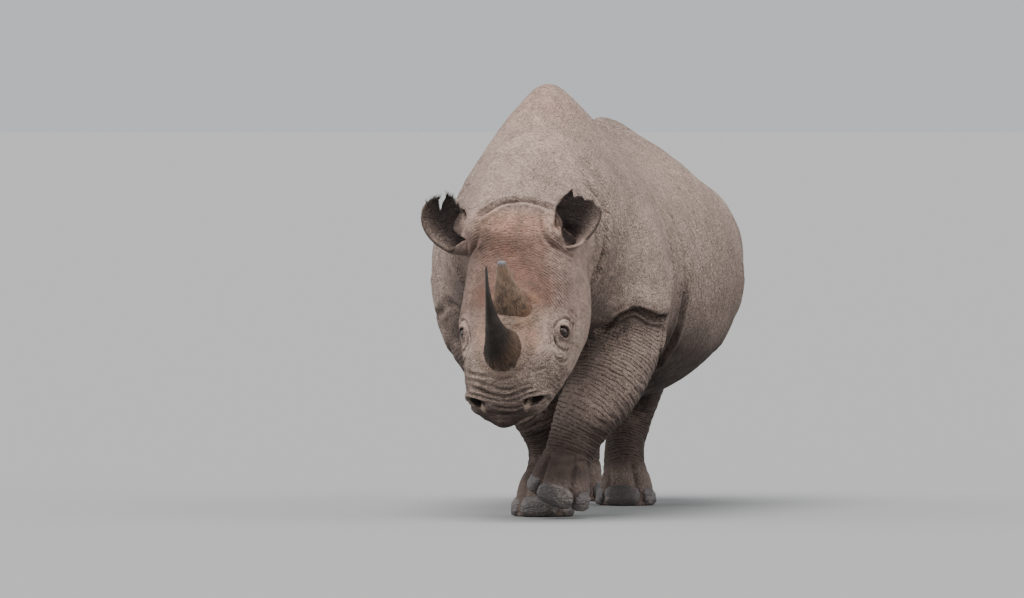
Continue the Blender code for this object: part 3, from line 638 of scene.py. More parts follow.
class Relief:
    """Outward displacement of the hide, gathered form by form."""

    def __init__(self, mesh):
        self.mesh = mesh
        self.points = read_points(mesh)
        self.normals = read_normals(mesh)
        self.height = np.zeros(len(self.points))

    def near(self, path, margin):
        """The numbers of the points in the path's box, widened by the margin."""
        low, high = path.min(axis=0) - margin, path.max(axis=0) + margin
        return np.flatnonzero(((self.points > low) & (self.points < high)).all(axis=1))

    def furrow(self, path, width, depth, lip=0.35, vary=1.0):
        """A Gaussian trough along a path, with a low round swelling at either side. Noise bends it
        and makes it deeper and shallower by turns."""
        path = np.asarray(path, dtype=float)
        some = self.near(path, 4 * width)
        if not len(some):
            return
        distance, _, fade = path_distance(self.points[some], self.normals[some], path)
        place = self.points[some]
        t = (distance + 0.35 * vary * width * noise(place, 40)) / width
        fade = fade * np.clip(1 - 0.2 * vary + 0.9 * vary * noise(place, 22), 0.1, 1.3)
        self.height[some] += depth * fade * (lip * np.exp(-((t - 2.1) / 0.9) ** 2) - np.exp(-t * t))

    def roll(self, path, width, height, drop, reach=3.0):
        """A fold that hangs over: one side of the path swells, the other falls away below it."""
        path = np.asarray(path, dtype=float)
        some = self.near(path, reach * width * 1.5)
        distance, side, fade = path_distance(self.points[some], self.normals[some], path)
        t = distance * side / width
        above = np.exp(-((t - 0.9) / 1.3) ** 2) * (t > 0) + np.exp(-(0.9 / 1.3) ** 2) * (t <= 0)
        swell = height * above * smooth(t, -0.25, 0.35)
        fall = drop * np.exp(-((np.minimum(t, 0)) / reach) ** 2) * smooth(-t, -0.3, 0.3)
        self.height[some] += fade * (swell - fall) * (np.abs(t) < reach * 1.5)

    def mound(self, place, size, height):
        """A round Gaussian swelling, or a hollow where the height is negative."""
        gap = np.linalg.norm((self.points - place) / size, axis=1)
        self.height += height * np.exp(-gap ** 2)

    def apply(self):
        """Moves the points along their normals, but never through the floor."""
        free = smooth(self.points[:, 2], 0.002, 0.02)
        moved = self.points + self.normals * (self.height * free)[:, None]
        moved[:, 2] = np.where(self.points[:, 2] < 0.002, self.points[:, 2],
                               np.maximum(moved[:, 2], 0.001))
        write_points(self.mesh, moved)


def both(path):
    """A path on the head's left side, and its mirror image on the right."""
    path = np.asarray(path, dtype=float)
    return on_head(path), on_head(path * (1, -1, 1))


def mirrored(path):
    """A path or place on the body's left side, and its mirror image on the right."""
    path = np.asarray(path, dtype=float)
    return path, path * (-1, 1, 1)


# creases of the head, as distances from the poll: across the top behind the ears, and before the
# root of either ear
POLL_CREASE = [(0.050, -0.135, 0.135), (0.034, -0.109, 0.145), (0.0, -0.05, 0.15),
               (-0.012, 0.0, 0.148), (-0.012, 0.06, 0.14), (0.0, 0.110, 0.12), (0.02, 0.14, 0.10)]
EAR_ROOT_CREASES = [
    ([(0.025, 0.098, 0.125), (0.060, 0.096, 0.112), (0.100, 0.104, 0.100), (0.130, 0.126, 0.070),
      (0.143, 0.160, 0.030), (0.142, 0.185, -0.02)], 0.0070, 0.009),
    ([(0.035, -0.112, 0.110), (0.075, -0.116, 0.105), (0.110, -0.128, 0.090),
      (0.135, -0.150, 0.050), (0.142, -0.175, 0.000)], 0.0070, 0.007),
]


def broad_forms(relief):
    """The rolls of shoulder, flank, neck and thigh, and the bones under the hide."""
    for path, width, depth in FLANK_FOLDS + NECK_FOLDS:
        for side in mirrored(path):
            relief.furrow(side, width, depth, vary=0.35)
    left, right = mirrored(SHOULDER_FOLD)
    relief.roll(left, 0.030, 0.014, 0.020)
    relief.roll(right[::-1], 0.030, 0.003, 0.004)
    for side in mirrored(ELBOW_FOLD):
        relief.furrow(side, 0.016, 0.016)
    relief.mound((0.42, -0.06, 0.80), (0.10, 0.12, 0.12), 0.012)
    for place, size, height in BODY_MOUNDS:
        for side in mirrored(place):
            relief.mound(side, size, height)
    for path, width, depth in THIGH_FOLDS:
        for side in mirrored(path):
            relief.furrow(side, width, depth)
    x, y, z = relief.points.T
    flank = (smooth(np.abs(x), 0.30, 0.42) * smooth(y, 0.34, 0.46) * smooth(-y, -1.0, -0.85)
             * smooth(z, 0.50, 0.65) * smooth(-z, -1.18, -1.0))
    relief.height += 0.0028 * flank * np.cos(2 * pi * (y + 0.12 * (z - 0.8)) / 0.075)
    body = smooth(y, -0.2, 0.1)
    relief.height += 0.004 * body * noise(relief.points, 7) + 0.0015 * noise(relief.points, 19)
    spine = np.exp(-(x / 0.10) ** 2) * smooth(z, 1.22, 1.32) * smooth(y, 0.10, 0.25)
    relief.height += spine * (0.0045 * noise(relief.points, 26) + 0.0030 * noise(relief.points, 55))


# swellings and hollows of the head: place from the poll, size and height. In pairs: the brow's
# ridge, temple, hollow before the eye, cheekbone, upper jaw and nostril's wing
PAIRED_MOUNDS = [
    ((0.18, 0.150, 0.05), 0.055, 0.008), ((0.25, 0.175, 0.03), 0.050, 0.006),
    ((0.33, 0.185, 0.01), 0.045, 0.005), ((0.26, 0.235, -0.08), 0.060, -0.010),
    ((0.47, 0.145, 0.05), 0.050, -0.009), ((0.36, 0.225, -0.10), 0.060, 0.007),
    ((0.56, 0.150, -0.01), 0.045, 0.005), ((0.650, 0.118, 0.000), 0.030, 0.009),
]
# once each: the roots of both ears, the dished brow, the poll, the nose, and the lip with the
# hollows beside its tip
SINGLE_MOUNDS = [
    ((0.085, 0.132, 0.075), (0.050, 0.030, 0.045), 0.030),
    ((0.085, -0.132, 0.075), (0.050, 0.030, 0.045), 0.022),
    ((0.20, 0.0, 0.11), 0.10, -0.007), ((0.06, 0.0, 0.145), 0.09, 0.006),
    ((0.63, 0.0, 0.035), (0.07, 0.04, 0.04), 0.006), ((0.748, -0.030, -0.080), 0.026, 0.012),
    ((0.725, 0.055, -0.105), 0.040, -0.018), ((0.715, -0.100, -0.100), 0.030, -0.008),
]
# the heavy upper lid and the two bags below the eye
EYE_MOUNDS = [((0.404, 0.188, 0.004), 0.016, 0.005), ((0.474, 0.182, -0.022), 0.013, 0.004),
              ((0.505, 0.172, -0.024), 0.013, 0.003)]


def horn_feet(points):
    """How far out of the oval foot of the front and the rear horn the points lie, with 1 at its
    edge, and whether they lie on top of the head."""
    a, x, z = head_place(points).T
    return (np.hypot((a - 0.508) / 0.096, (x + 0.004) / 0.086),
            np.hypot((a - 0.376) / 0.066, (x - 0.016) / 0.083), smooth(z, -0.02, 0.03))


def head_forms(relief):
    """Brow ridges, the hollows of the temples, cheekbones, the boss under the front horn, the rolls
    over the muzzle, lips and chin."""
    for place, size, height in PAIRED_MOUNDS:
        for side in both(place):
            relief.mound(side, size, height)
    for place, size, height in SINGLE_MOUNDS:
        relief.mound(on_head(place), size, height)
    front, rear, on_top = horn_feet(relief.points)
    for ring, height in ((front, 0.007), (rear, 0.004)):
        ragged = ring + 0.05 * noise(relief.points, 30)
        relief.height += height * on_top * np.exp(-((ragged - 1.0) / 0.17) ** 2)
    for path, width, depth in [(POLL_CREASE, 0.0095, 0.020)] + EAR_ROOT_CREASES:
        relief.furrow(on_head(path), width, depth, vary=0.25)


MUZZLE_CREASES = [
    ([(0.570, -0.150, -0.010), (0.592, -0.120, 0.014), (0.611, -0.07, 0.036), (0.626, -0.01, 0.040),
      (0.618, 0.046, 0.043), (0.596, 0.101, 0.033), (0.566, 0.145, 0.007)], 0.0050, 0.0065),
    ([(0.602, -0.144, -0.017), (0.622, -0.100, 0.014), (0.640, -0.055, 0.023),
      (0.654, 0.0, 0.016), (0.639, 0.077, 0.017), (0.619, 0.125, -0.001)], 0.0050, 0.0070),
    ([(0.630, -0.130, -0.012), (0.648, -0.095, 0.004), (0.668, -0.046, 0.002),
      (0.674, -0.010, -0.001), (0.665, 0.046, 0.004), (0.647, 0.087, 0.006),
      (0.632, 0.118, -0.004)], 0.0052, 0.0080),
    ([(0.672, -0.075, -0.008), (0.682, -0.030, -0.010), (0.686, 0.015, -0.012),
      (0.676, 0.072, -0.012)], 0.0042, 0.0045),
    ([(0.696, -0.058, -0.026), (0.705, -0.014, -0.029), (0.706, 0.034, -0.031),
      (0.698, 0.060, -0.032)], 0.0042, 0.0042),
    ([(0.712, -0.071, -0.052), (0.722, -0.018, -0.047), (0.719, 0.042, -0.048)], 0.0042, 0.0040),
]
EYE_CREASES = [      # on the left side: round the lids, above and in two bags below
    ([(0.433, 0.154, 0.030), (0.413, 0.160, 0.024), (0.392, 0.171, 0.015), (0.380, 0.186, 0.000),
      (0.384, 0.199, -0.022), (0.400, 0.207, -0.044)], 0.0042, 0.0080),
    ([(0.452, 0.158, 0.018), (0.470, 0.162, 0.007), (0.486, 0.172, -0.012), (0.488, 0.184, -0.036),
      (0.472, 0.197, -0.056)], 0.0042, 0.0085),
    ([(0.494, 0.150, 0.018), (0.516, 0.155, 0.004), (0.529, 0.168, -0.022), (0.523, 0.182, -0.050),
      (0.505, 0.192, -0.070)], 0.0050, 0.0085),
    ([(0.440, 0.150, 0.032), (0.470, 0.150, 0.022), (0.498, 0.158, 0.000)], 0.0040, 0.0030),
    ([(0.352, 0.190, 0.000), (0.350, 0.205, -0.022), (0.362, 0.214, -0.046)], 0.0045, 0.0028),
    ([(0.455, 0.203, -0.050), (0.450, 0.213, -0.080), (0.455, 0.216, -0.105)], 0.0045, 0.0030),
    ([(0.480, 0.200, -0.066), (0.482, 0.206, -0.095), (0.492, 0.204, -0.115)], 0.0045, 0.0030),
]
CHEEK_CREASES = [
    ([(0.560, 0.160, -0.010), (0.585, 0.160, -0.040), (0.590, 0.166, -0.075)], 0.0042, 0.0034),
    ([(0.585, 0.146, 0.000), (0.612, 0.146, -0.030), (0.620, 0.155, -0.070)], 0.0042, 0.0036),
    ([(0.545, 0.172, -0.035), (0.556, 0.178, -0.070), (0.575, 0.174, -0.100)], 0.0042, 0.0030),
    ([(0.600, 0.158, -0.030), (0.582, 0.166, -0.050), (0.560, 0.175, -0.052)], 0.0042, 0.0030),
    ([(0.630, 0.140, -0.045), (0.606, 0.156, -0.058), (0.575, 0.172, -0.082)], 0.0042, 0.0030),
    ([(0.655, 0.130, -0.075), (0.628, 0.148, -0.088), (0.600, 0.164, -0.105)], 0.0042, 0.0030),
]


def nostril_field(points, sign, nostril):
    """Round a nostril: the gap from its middle, how far outward and down a point lies, how far out
    of its slanting oval with 1 at the edge, and how far it lies from the skin there."""
    gap = (head_place(points) - nostril) * (1, sign, 1)
    down = gap @ unit(np.array((0.55, -0.30, -0.60)))
    wide = gap @ unit(np.array((0.20, 0.80, -0.25)))
    hole = np.sqrt((wide / 0.029) ** 2 + ((down + 0.30 * wide) / 0.0185) ** 2)
    return gap, wide, down, hole, np.abs(gap @ unit(np.array((0.6, 0.3, 0.6))))


def fine_forms(relief):
    """Creases over the muzzle, round the eyes and on the cheeks, the mouth and the nostrils."""
    for side, depth in zip(mirrored(np.array(SHOULDER_FOLD) + (0.0, 0.0, -0.014)), (0.024, 0.006)):
        relief.furrow(side, 0.009, depth, vary=0.3)
    for path, width, depth in MUZZLE_CREASES:
        relief.furrow(on_head(path), width, depth, lip=0.5)
    for path, width, depth in CHEEK_CREASES:
        for side in both(path):
            relief.furrow(side, width, depth, lip=0.45)
    for shift in (0.016, 0.030, 0.043):
        path = on_head(POLL_CREASE) + np.array((0, 0.4, 0.75)) * shift
        relief.furrow(path, 0.006, 0.0045 * (1 - 12 * shift ** 1.2), vary=0.4)
    a, x, z = head_place(relief.points).T
    mouth = z - (-0.077 - (0.80 - a) * 0.2035) - 0.006 * np.sin(np.abs(x) * 30)
    lips = smooth(a, 0.52, 0.58) * (relief.normals @ UP < 0.8)
    relief.height -= 0.010 * lips * np.exp(-(mouth / 0.0065) ** 2)
    relief.height += 0.005 * lips * np.exp(-((np.abs(mouth) - 0.018) / 0.012) ** 2)
    for sign, nostril in NOSTRILS:
        _, wide, down, hole, deep = nostril_field(relief.points, sign, nostril)
        skin = deep < 0.050
        fold = np.exp(-((wide + 0.018) / 0.0095) ** 2 - ((down - 0.018) / 0.020) ** 2)
        relief.height += skin * (0.005 * fold - 0.036 * (1 - fold) * smooth(-hole, -1.22, -0.70))
        rim = np.exp(-((hole - 1.42) / 0.32) ** 2) * smooth(-down, -0.012, 0.010)
        relief.height += 0.009 * skin * rim
        side_crease = np.exp(-((wide - 0.040 - 0.5 * np.clip(down, -0.01, 0.05)) / 0.0045) ** 2)
        relief.height -= (0.006 * skin * side_crease * smooth(down, -0.02, 0.0)
                          * smooth(-down, -0.05, -0.03))
    relief.height += 0.0012 * noise(relief.points, 45) * smooth(a, -0.02, 0.1)


def eye_folds(relief):
    """The heavy upper lid, the bags below and the creases round the eye, laid over the lids."""
    for place, size, height in EYE_MOUNDS:
        for side in both(place):
            relief.mound(side, size, height)
    for path, width, depth in EYE_CREASES:
        for side in both(path):
            relief.furrow(side, width, depth, lip=0.45, vary=0.5)


def limb_forms(relief):
    """The clefts between the toes, the folds above them, and the wrinkles round every leg."""
    for stations, sole in LEGS.values():
        length, angle, ratio, whole = limb_field(relief.points, stations)
        if sole == 0:
            whole = whole + SOLE_DEPTH
        own = smooth(-ratio, -1.30, -1.12)
        above = whole - length
        foot = own * smooth(-above, -0.13, -0.08)
        for toe in (-0.55, 0.55):
            cleft = np.exp(-((angle - toe) / 0.10) ** 2)
            relief.height -= 0.012 * foot * cleft
        wave = 0.011 * noise(relief.points, 9) + 0.004 * noise(relief.points, 28)
        band = np.abs(above - 0.115 - wave + 0.02 * np.cos(angle * 3)) / 0.008
        relief.height -= 0.006 * own * np.exp(-band ** 2)
        band = np.abs(above - 0.160 - wave) / 0.007
        relief.height -= 0.004 * own * np.exp(-band ** 2)
        spacing = 0.030
        phase = (above + 0.8 * wave) / spacing
        crest = np.abs(np.sin(pi * phase)) ** 0.6
        reach = smooth(above, 0.15, 0.19) * smooth(-above, -0.62, -0.50)
        relief.height += 0.0046 * own * reach * (crest - 0.7) * (0.65 + 0.5 * noise(relief.points, 6))


# ---------------------------------------------------------------- lids

LID_MIDDLE = (0.432, 0.1850, -0.0060)
LID_OUT = unit(np.array((0.28, 0.80, 0.53)))
LID_LONG = unit(np.cross(np.cross(LID_OUT, np.array((0.50, 0.45, -0.75))), LID_OUT))
LID_TALL = np.cross(LID_OUT, LID_LONG)


def lid_place(points, sign):
    """Head places seen from an eye: along the lids, across them, out from the ball, and how far
    out of the almond opening they lie, with 1 at the lids' edge."""
    gap = head_place(points) * (1, sign, 1) - EYE_PLACE
    long, tall, out = gap @ LID_LONG, gap @ LID_TALL, gap @ LID_OUT
    return long, tall, out, np.sqrt((long / 0.0245) ** 2 + (np.abs(tall) / 0.0178) ** 1.7)


def lids(mesh):
    """Round each eye the hide is a height over the plane of the lids: a dome that clears the ball
    by the lids' thickness, with an almond cut into it that falls behind the ball's surface."""
    points = read_points(mesh)
    for sign in (1, -1):
        place = head_place(points) * (1, sign, 1)
        long, tall, out, almond = lid_place(points, sign)
        round_eye = np.hypot(long, tall)
        some = (round_eye < 0.080) & (out > -0.05)
        dome = 0.0258 * np.exp(-(round_eye / 0.041) ** 2)
        near = smooth(-round_eye, -0.080, -0.042)
        rise = np.logaddexp(0, (dome - out) / 0.0035) * 0.0035
        height = np.where(some, out + near * rise, out)
        lid_edge = 0.0022 * np.exp(-((almond - 1.22) / 0.20) ** 2)
        pit = smooth(-almond, -1.06, -0.88)
        height = height + some * near * lid_edge
        height = np.where(some, height * (1 - pit) + (-0.004) * pit, height)
        place = place + (height - out)[:, None] * LID_OUT
        points = np.where(some[:, None], on_head(place * (1, sign, 1)), points)
    write_points(mesh, points)


# ---------------------------------------------------------------- ears

def ear_line(side, samples):
    """Points and half widths along an ear, from inside the head to its tip."""
    sign = 1 if side == "left" else -1
    reach, height = EAR_REACH[side]
    stations = [(0.0, 0.0), (0.035, 0.008), (reach * 0.72, height * 0.25),
                (reach, height * 0.62), (reach * 0.93, height)]
    t = spline(stations, samples, 2)
    root = on_head((EAR_ROOT[0], sign * EAR_ROOT[1], EAR_ROOT[2]))
    points = root + t[:, :1] * sign * ACROSS + t[:, 1:2] * np.array((0.0, 0.0, 1.0))
    s = np.linspace(0, 1, samples)
    bulge = np.sin(pi * np.clip((s - 0.18) / 0.92, 0, 1) ** 0.95)
    width = EAR_TUBE + (EAR_WIDTH - EAR_TUBE) * bulge
    width *= np.sqrt(1 - 0.985 * np.clip((s - 0.80) / 0.27, 0, 1) ** 2.2)
    return points, width


def ear_axes(points):
    """Directions across an ear's line and out of its open face."""
    along = unit(np.gradient(points, axis=0))
    across = unit(np.cross(along, EAR_FACES))
    return across, np.cross(across, along)


def ear_reach(side, v):
    """How far up the ear its wall runs at each place across: round, but for torn notches."""
    ragged = 0.008 * np.sin(23 * v + 1) + 0.006 * np.sin(51 * v)
    if side == "right":
        torn = 0.17 * np.clip(1 - np.where(v < -0.06, (-0.06 - v) / 0.22, (v + 0.06) / 0.07), 0, 1)
        lobes = 0.055 * smooth(-v, -0.02, 0.10)
        return 0.985 + ragged - torn - lobes - 0.20 * np.clip(-v, 0, 1) ** 2.2 - 0.30 * np.clip(
            v, 0, 1) ** 1.6
    steps = 0.10 * smooth(v, -0.20, -0.14) + 0.065 * smooth(v, 0.16, 0.21) + 0.05 * smooth(v, 0.52, 0.60)
    return 0.985 + 0.7 * ragged - steps - 0.06 * np.clip(v, 0, 1) ** 3 - 0.34 * np.clip(
        -v - 0.25, 0, 1) ** 1.2


def ear_walls(side, rows, columns):
    """The outer and inner walls of an ear: a tube at the root that opens in front into a cup.
    At a place s along and v across, the angle from the back is v times the half opening there."""
    points, width = ear_line(side, 200)
    across, face = ear_axes(points)
    table = np.linspace(0, 1, 200)
    v = np.linspace(-1, 1, columns)[None]
    s = np.linspace(0, 1, rows)[:, None] * ear_reach(side, v)
    at = lambda column: np.interp(s, table, column)
    line, out, front = (np.stack([at(c) for c in rows.T], -1) for rows in (points, across, face))
    wide = at(width)
    outward = v if side == "left" else -v
    if side == "left":
        medial = 0.985 - 0.17 * smooth(s, 0.12, 0.34) - 0.25 * smooth(s, 0.40, 0.62)
        lateral = 0.985 - 0.49 * smooth(s, 0.10, 0.34)
    else:
        medial = 0.985 - 0.42 * smooth(s, 0.46, 0.74)
        lateral = 0.985 - 0.49 * smooth(s, 0.26, 0.46)
    opening = pi * np.where(outward > 0, lateral, medial)
    angle = opening * v
    deep = (EAR_FLATNESS + 0.40 * smooth(-s, -0.50, -0.20)) * wide
    flare = 1 + 0.06 * np.abs(v) ** 3 * smooth(s, 0.45, 0.7)
    outer = (line + (np.sin(angle) * wide * flare)[..., None] * out
             - (np.cos(angle) * deep)[..., None] * front)
    grow = np.cross(np.gradient(outer, axis=1), np.gradient(outer, axis=0))
    normal = unit(grow)
    if ((outer - line) * normal).sum() < 0:
        normal = -normal
    rim = np.maximum(np.abs(v) ** 5 * smooth(s, 0.3, 0.6), smooth(s, 0.75, 1.0))
    wall = 0.0105 - 0.0070 * rim
    inner = outer - wall[..., None] * normal
    return outer, inner, s, v


def sheet_solid(outer, inner):
    """Points and faces of the closed solid between two grids of the same size."""
    rows, columns = outer.shape[:2]
    number = np.arange(rows * columns).reshape(rows, columns)
    quad = lambda a, b, c, d: np.stack([a, b, c, d], -1).reshape(-1, 4)
    other = number + rows * columns
    faces = [quad(number[:-1, :-1], number[:-1, 1:], number[1:, 1:], number[1:, :-1]),
             quad(other[:-1, :-1], other[1:, :-1], other[1:, 1:], other[:-1, 1:])]
    loop = np.concatenate([number[0, :-1], number[:-1, -1], number[-1, :0:-1], number[:0:-1, 0]])
    after = np.roll(loop, -1)
    faces.append(quad(after, loop, loop + rows * columns, after + rows * columns))
    points = np.concatenate([outer.reshape(-1, 3), inner.reshape(-1, 3)])
    return points, np.concatenate(faces).tolist()


def ear_place(points, side):
    """For every point: how far up the ear it lies from 0 to 1, its place across and in depth over
    the ear's half width and half depth there, whether it is beside the ear's line at all, that
    half depth and the ear's forward direction."""
    line, width = ear_line(side, EAR_SAMPLES)
    out, front = ear_axes(line)
    n, gap = nearest(points, line)
    across = (gap * out[n]).sum(axis=1) / (1.02 * width[n])
    beside = np.abs((gap * np.cross(out, front)[n]).sum(axis=1)) < 0.02
    deep = EAR_FLATNESS * width[n] + 0.010
    depth = (gap * front[n]).sum(axis=1) / deep
    return n / (EAR_SAMPLES - 1), across, depth, beside, deep, front[n]


def make_room(points):
    """The points of the hide that would fill an ear's cup, moved back behind the cup's wall."""
    for side in ("left", "right"):
        rise, across, depth, beside, deep, front = ear_place(points, side)
        behind = -np.sqrt(np.clip(1 - across ** 2, 0, 1)) - 0.003 / deep
        share = (smooth(rise, 0.20, 0.32) * smooth(-np.abs(across), -1.0, -0.80)
                 * smooth(-depth, -1.6, -1.2) * beside)
        points = points - (np.maximum(depth - behind, 0) * deep * share)[:, None] * front
    return points


def join_ears(mesh):
    """One mesh of the hide and both ears. The second result is 0 on the body and 1 on an ear, the
    third how dark the ear is painted there: painted shade, black deep in the cup and on the hide
    inside it, greyer towards its outer lower rim, with the ear's edges darker as well."""
    work = bmesh.new()
    work.from_mesh(mesh)
    # Painted shade: the hide that lies inside an ear's cup is darkened like the cup.
    pocket_shade = np.zeros(len(work.verts))
    for side in ("left", "right"):
        rise, across, depth, beside, _, _ = ear_place(read_points(mesh), side)
        pocket_shade = np.maximum(pocket_shade, beside * smooth(-np.hypot(across, depth), -1.06, -0.92)
                            * smooth(rise, 0.14, 0.24))
    on_ear, shade = [np.zeros(len(work.verts))], [pocket_shade]
    for side in ("left", "right"):
        outer, inner, s, v = ear_walls(side, *HIDE_EAR_GRID)
        points, faces = sheet_solid(outer, inner)
        work.from_mesh(mesh_of("ear", points, faces))
        on_ear.append(np.ones(len(points)))
        outward = v + 0 * s if side == "left" else -v + 0 * s
        # Painted shade in the cup: black deep inside, greyer towards its open outer lower part.
        deep = 1 - 0.62 * smooth(outward, 0.10, 0.90) * smooth(-s, -0.98, -0.50)
        deep = np.maximum(deep, smooth(-s, -0.28, -0.16))
        rim = 0.72 * np.maximum(smooth(s, 0.72, 0.9), smooth(np.abs(v), 0.75, 0.95) * (s > 0.35))
        shade += [rim.ravel(), np.maximum(deep, rim).ravel()]
    return mesh_from(work, "hide"), np.concatenate(on_ear), np.concatenate(shade)


# ---------------------------------------------------------------- fields that colour the hide

def face_field(points):
    """Distances from the poll, and how far the points belong to the face, from 0 to 1."""
    a, x, z = head_place(points).T
    on = smooth(a, -0.02, 0.05) * smooth(-np.abs(x), -0.27, -0.24) * smooth(z, -0.24, -0.12)
    return a, x, z, on * (points[:, 1] < -0.3)


def wrinkle_fields(points):
    """The finest wrinkles: which set of them rules a place, its count of wrinkles passed, and how
    strong it is there. A set's strength is what it has over the next strongest one."""
    a, x, z, face = face_field(points)
    x_own, y_own, z_own = points.T
    sets = []
    for stations, sole in LEGS.values():
        length, _, ratio, whole = limb_field(points, stations)
        above = whole - length + (SOLE_DEPTH if sole == 0 else 0)
        strength = smooth(-ratio, -1.25, -1.1) * smooth(above, 0.10, 0.15) * smooth(-above, -0.85, -0.6)
        sets.append((above / 0.0135, strength))
    brow = np.hypot(a - 0.44, 0.95 * x)
    temple = 0.22 + 0.5 * smooth(np.abs(x), 0.07, 0.15)
    sets.append((brow / 0.0085, temple * face * smooth(brow, 0.13, 0.17) * smooth(a, 0.03, 0.09)
                 * smooth(z, -0.02, 0.03)))
    for sign in (1, -1):
        gap = head_place(points) * (1, sign, 1) - LID_MIDDLE
        eye = np.sqrt(((gap[:, 0] - 0.014) / 1.9) ** 2 + gap[:, 1] ** 2 + gap[:, 2] ** 2)
        sets.append((eye / 0.0085, 0.75 * smooth(-eye, -0.075, -0.045) * smooth(eye, 0.024, 0.034)))
    sets.append(((a + 1.1 * x * x) / 0.0105, 0.42 * face * smooth(a, 0.56, 0.60)))
    neck = smooth(-y_own, 0.22, 0.32) * (1 - face) * smooth(-y_own, -0.70, -0.60)
    neck *= 0.15 + 0.85 * smooth(np.abs(x_own), 0.10, 0.22)
    sets.append(((y_own + 0.30 * z_own) / 0.016, 0.60 * neck))
    flank = smooth(np.abs(x_own), 0.25, 0.36) * smooth(y_own, -0.1, 0.1) * smooth(-y_own, -1.5, -1.3)
    sets.append(((y_own + 0.15 * z_own) / 0.022, 0.60 * flank))
    length, _, ratio, _ = limb_field(points, TAIL)
    sets.append((length / 0.012, 0.6 * (ratio < 1.4) * (y_own > 1.79)))
    count = np.stack([c for c, _ in sets])
    strength = np.stack([np.broadcast_to(k, len(points)) for _, k in sets])
    order = np.argsort(strength, axis=0)
    best, second = order[-1], order[-2]
    row = np.arange(len(points))
    return count[best, row], strength[best, row] - strength[second, row]


def hollowness(mesh):
    """Curvature from the mean of each vertex's neighbours: positive in a crease."""
    points, edges = read_points(mesh), read_edges(mesh)
    count = np.maximum(np.bincount(edges.ravel(), minlength=len(points)), 1)[:, None]
    lift = ((neighbours_mean(points, edges, count) - points) * read_normals(mesh)).sum(axis=1)
    reach = np.linalg.norm(points[edges[:, 0]] - points[edges[:, 1]], axis=1)
    mean = (np.bincount(edges[:, 0], reach, len(points))
            + np.bincount(edges[:, 1], reach, len(points))) / count[:, 0]
    bend = (lift / np.maximum(mean, 1e-4) ** 2)[:, None]
    for _ in range(2):
        bend = 0.5 * bend + 0.5 * neighbours_mean(bend, edges, count)
    return bend[:, 0]


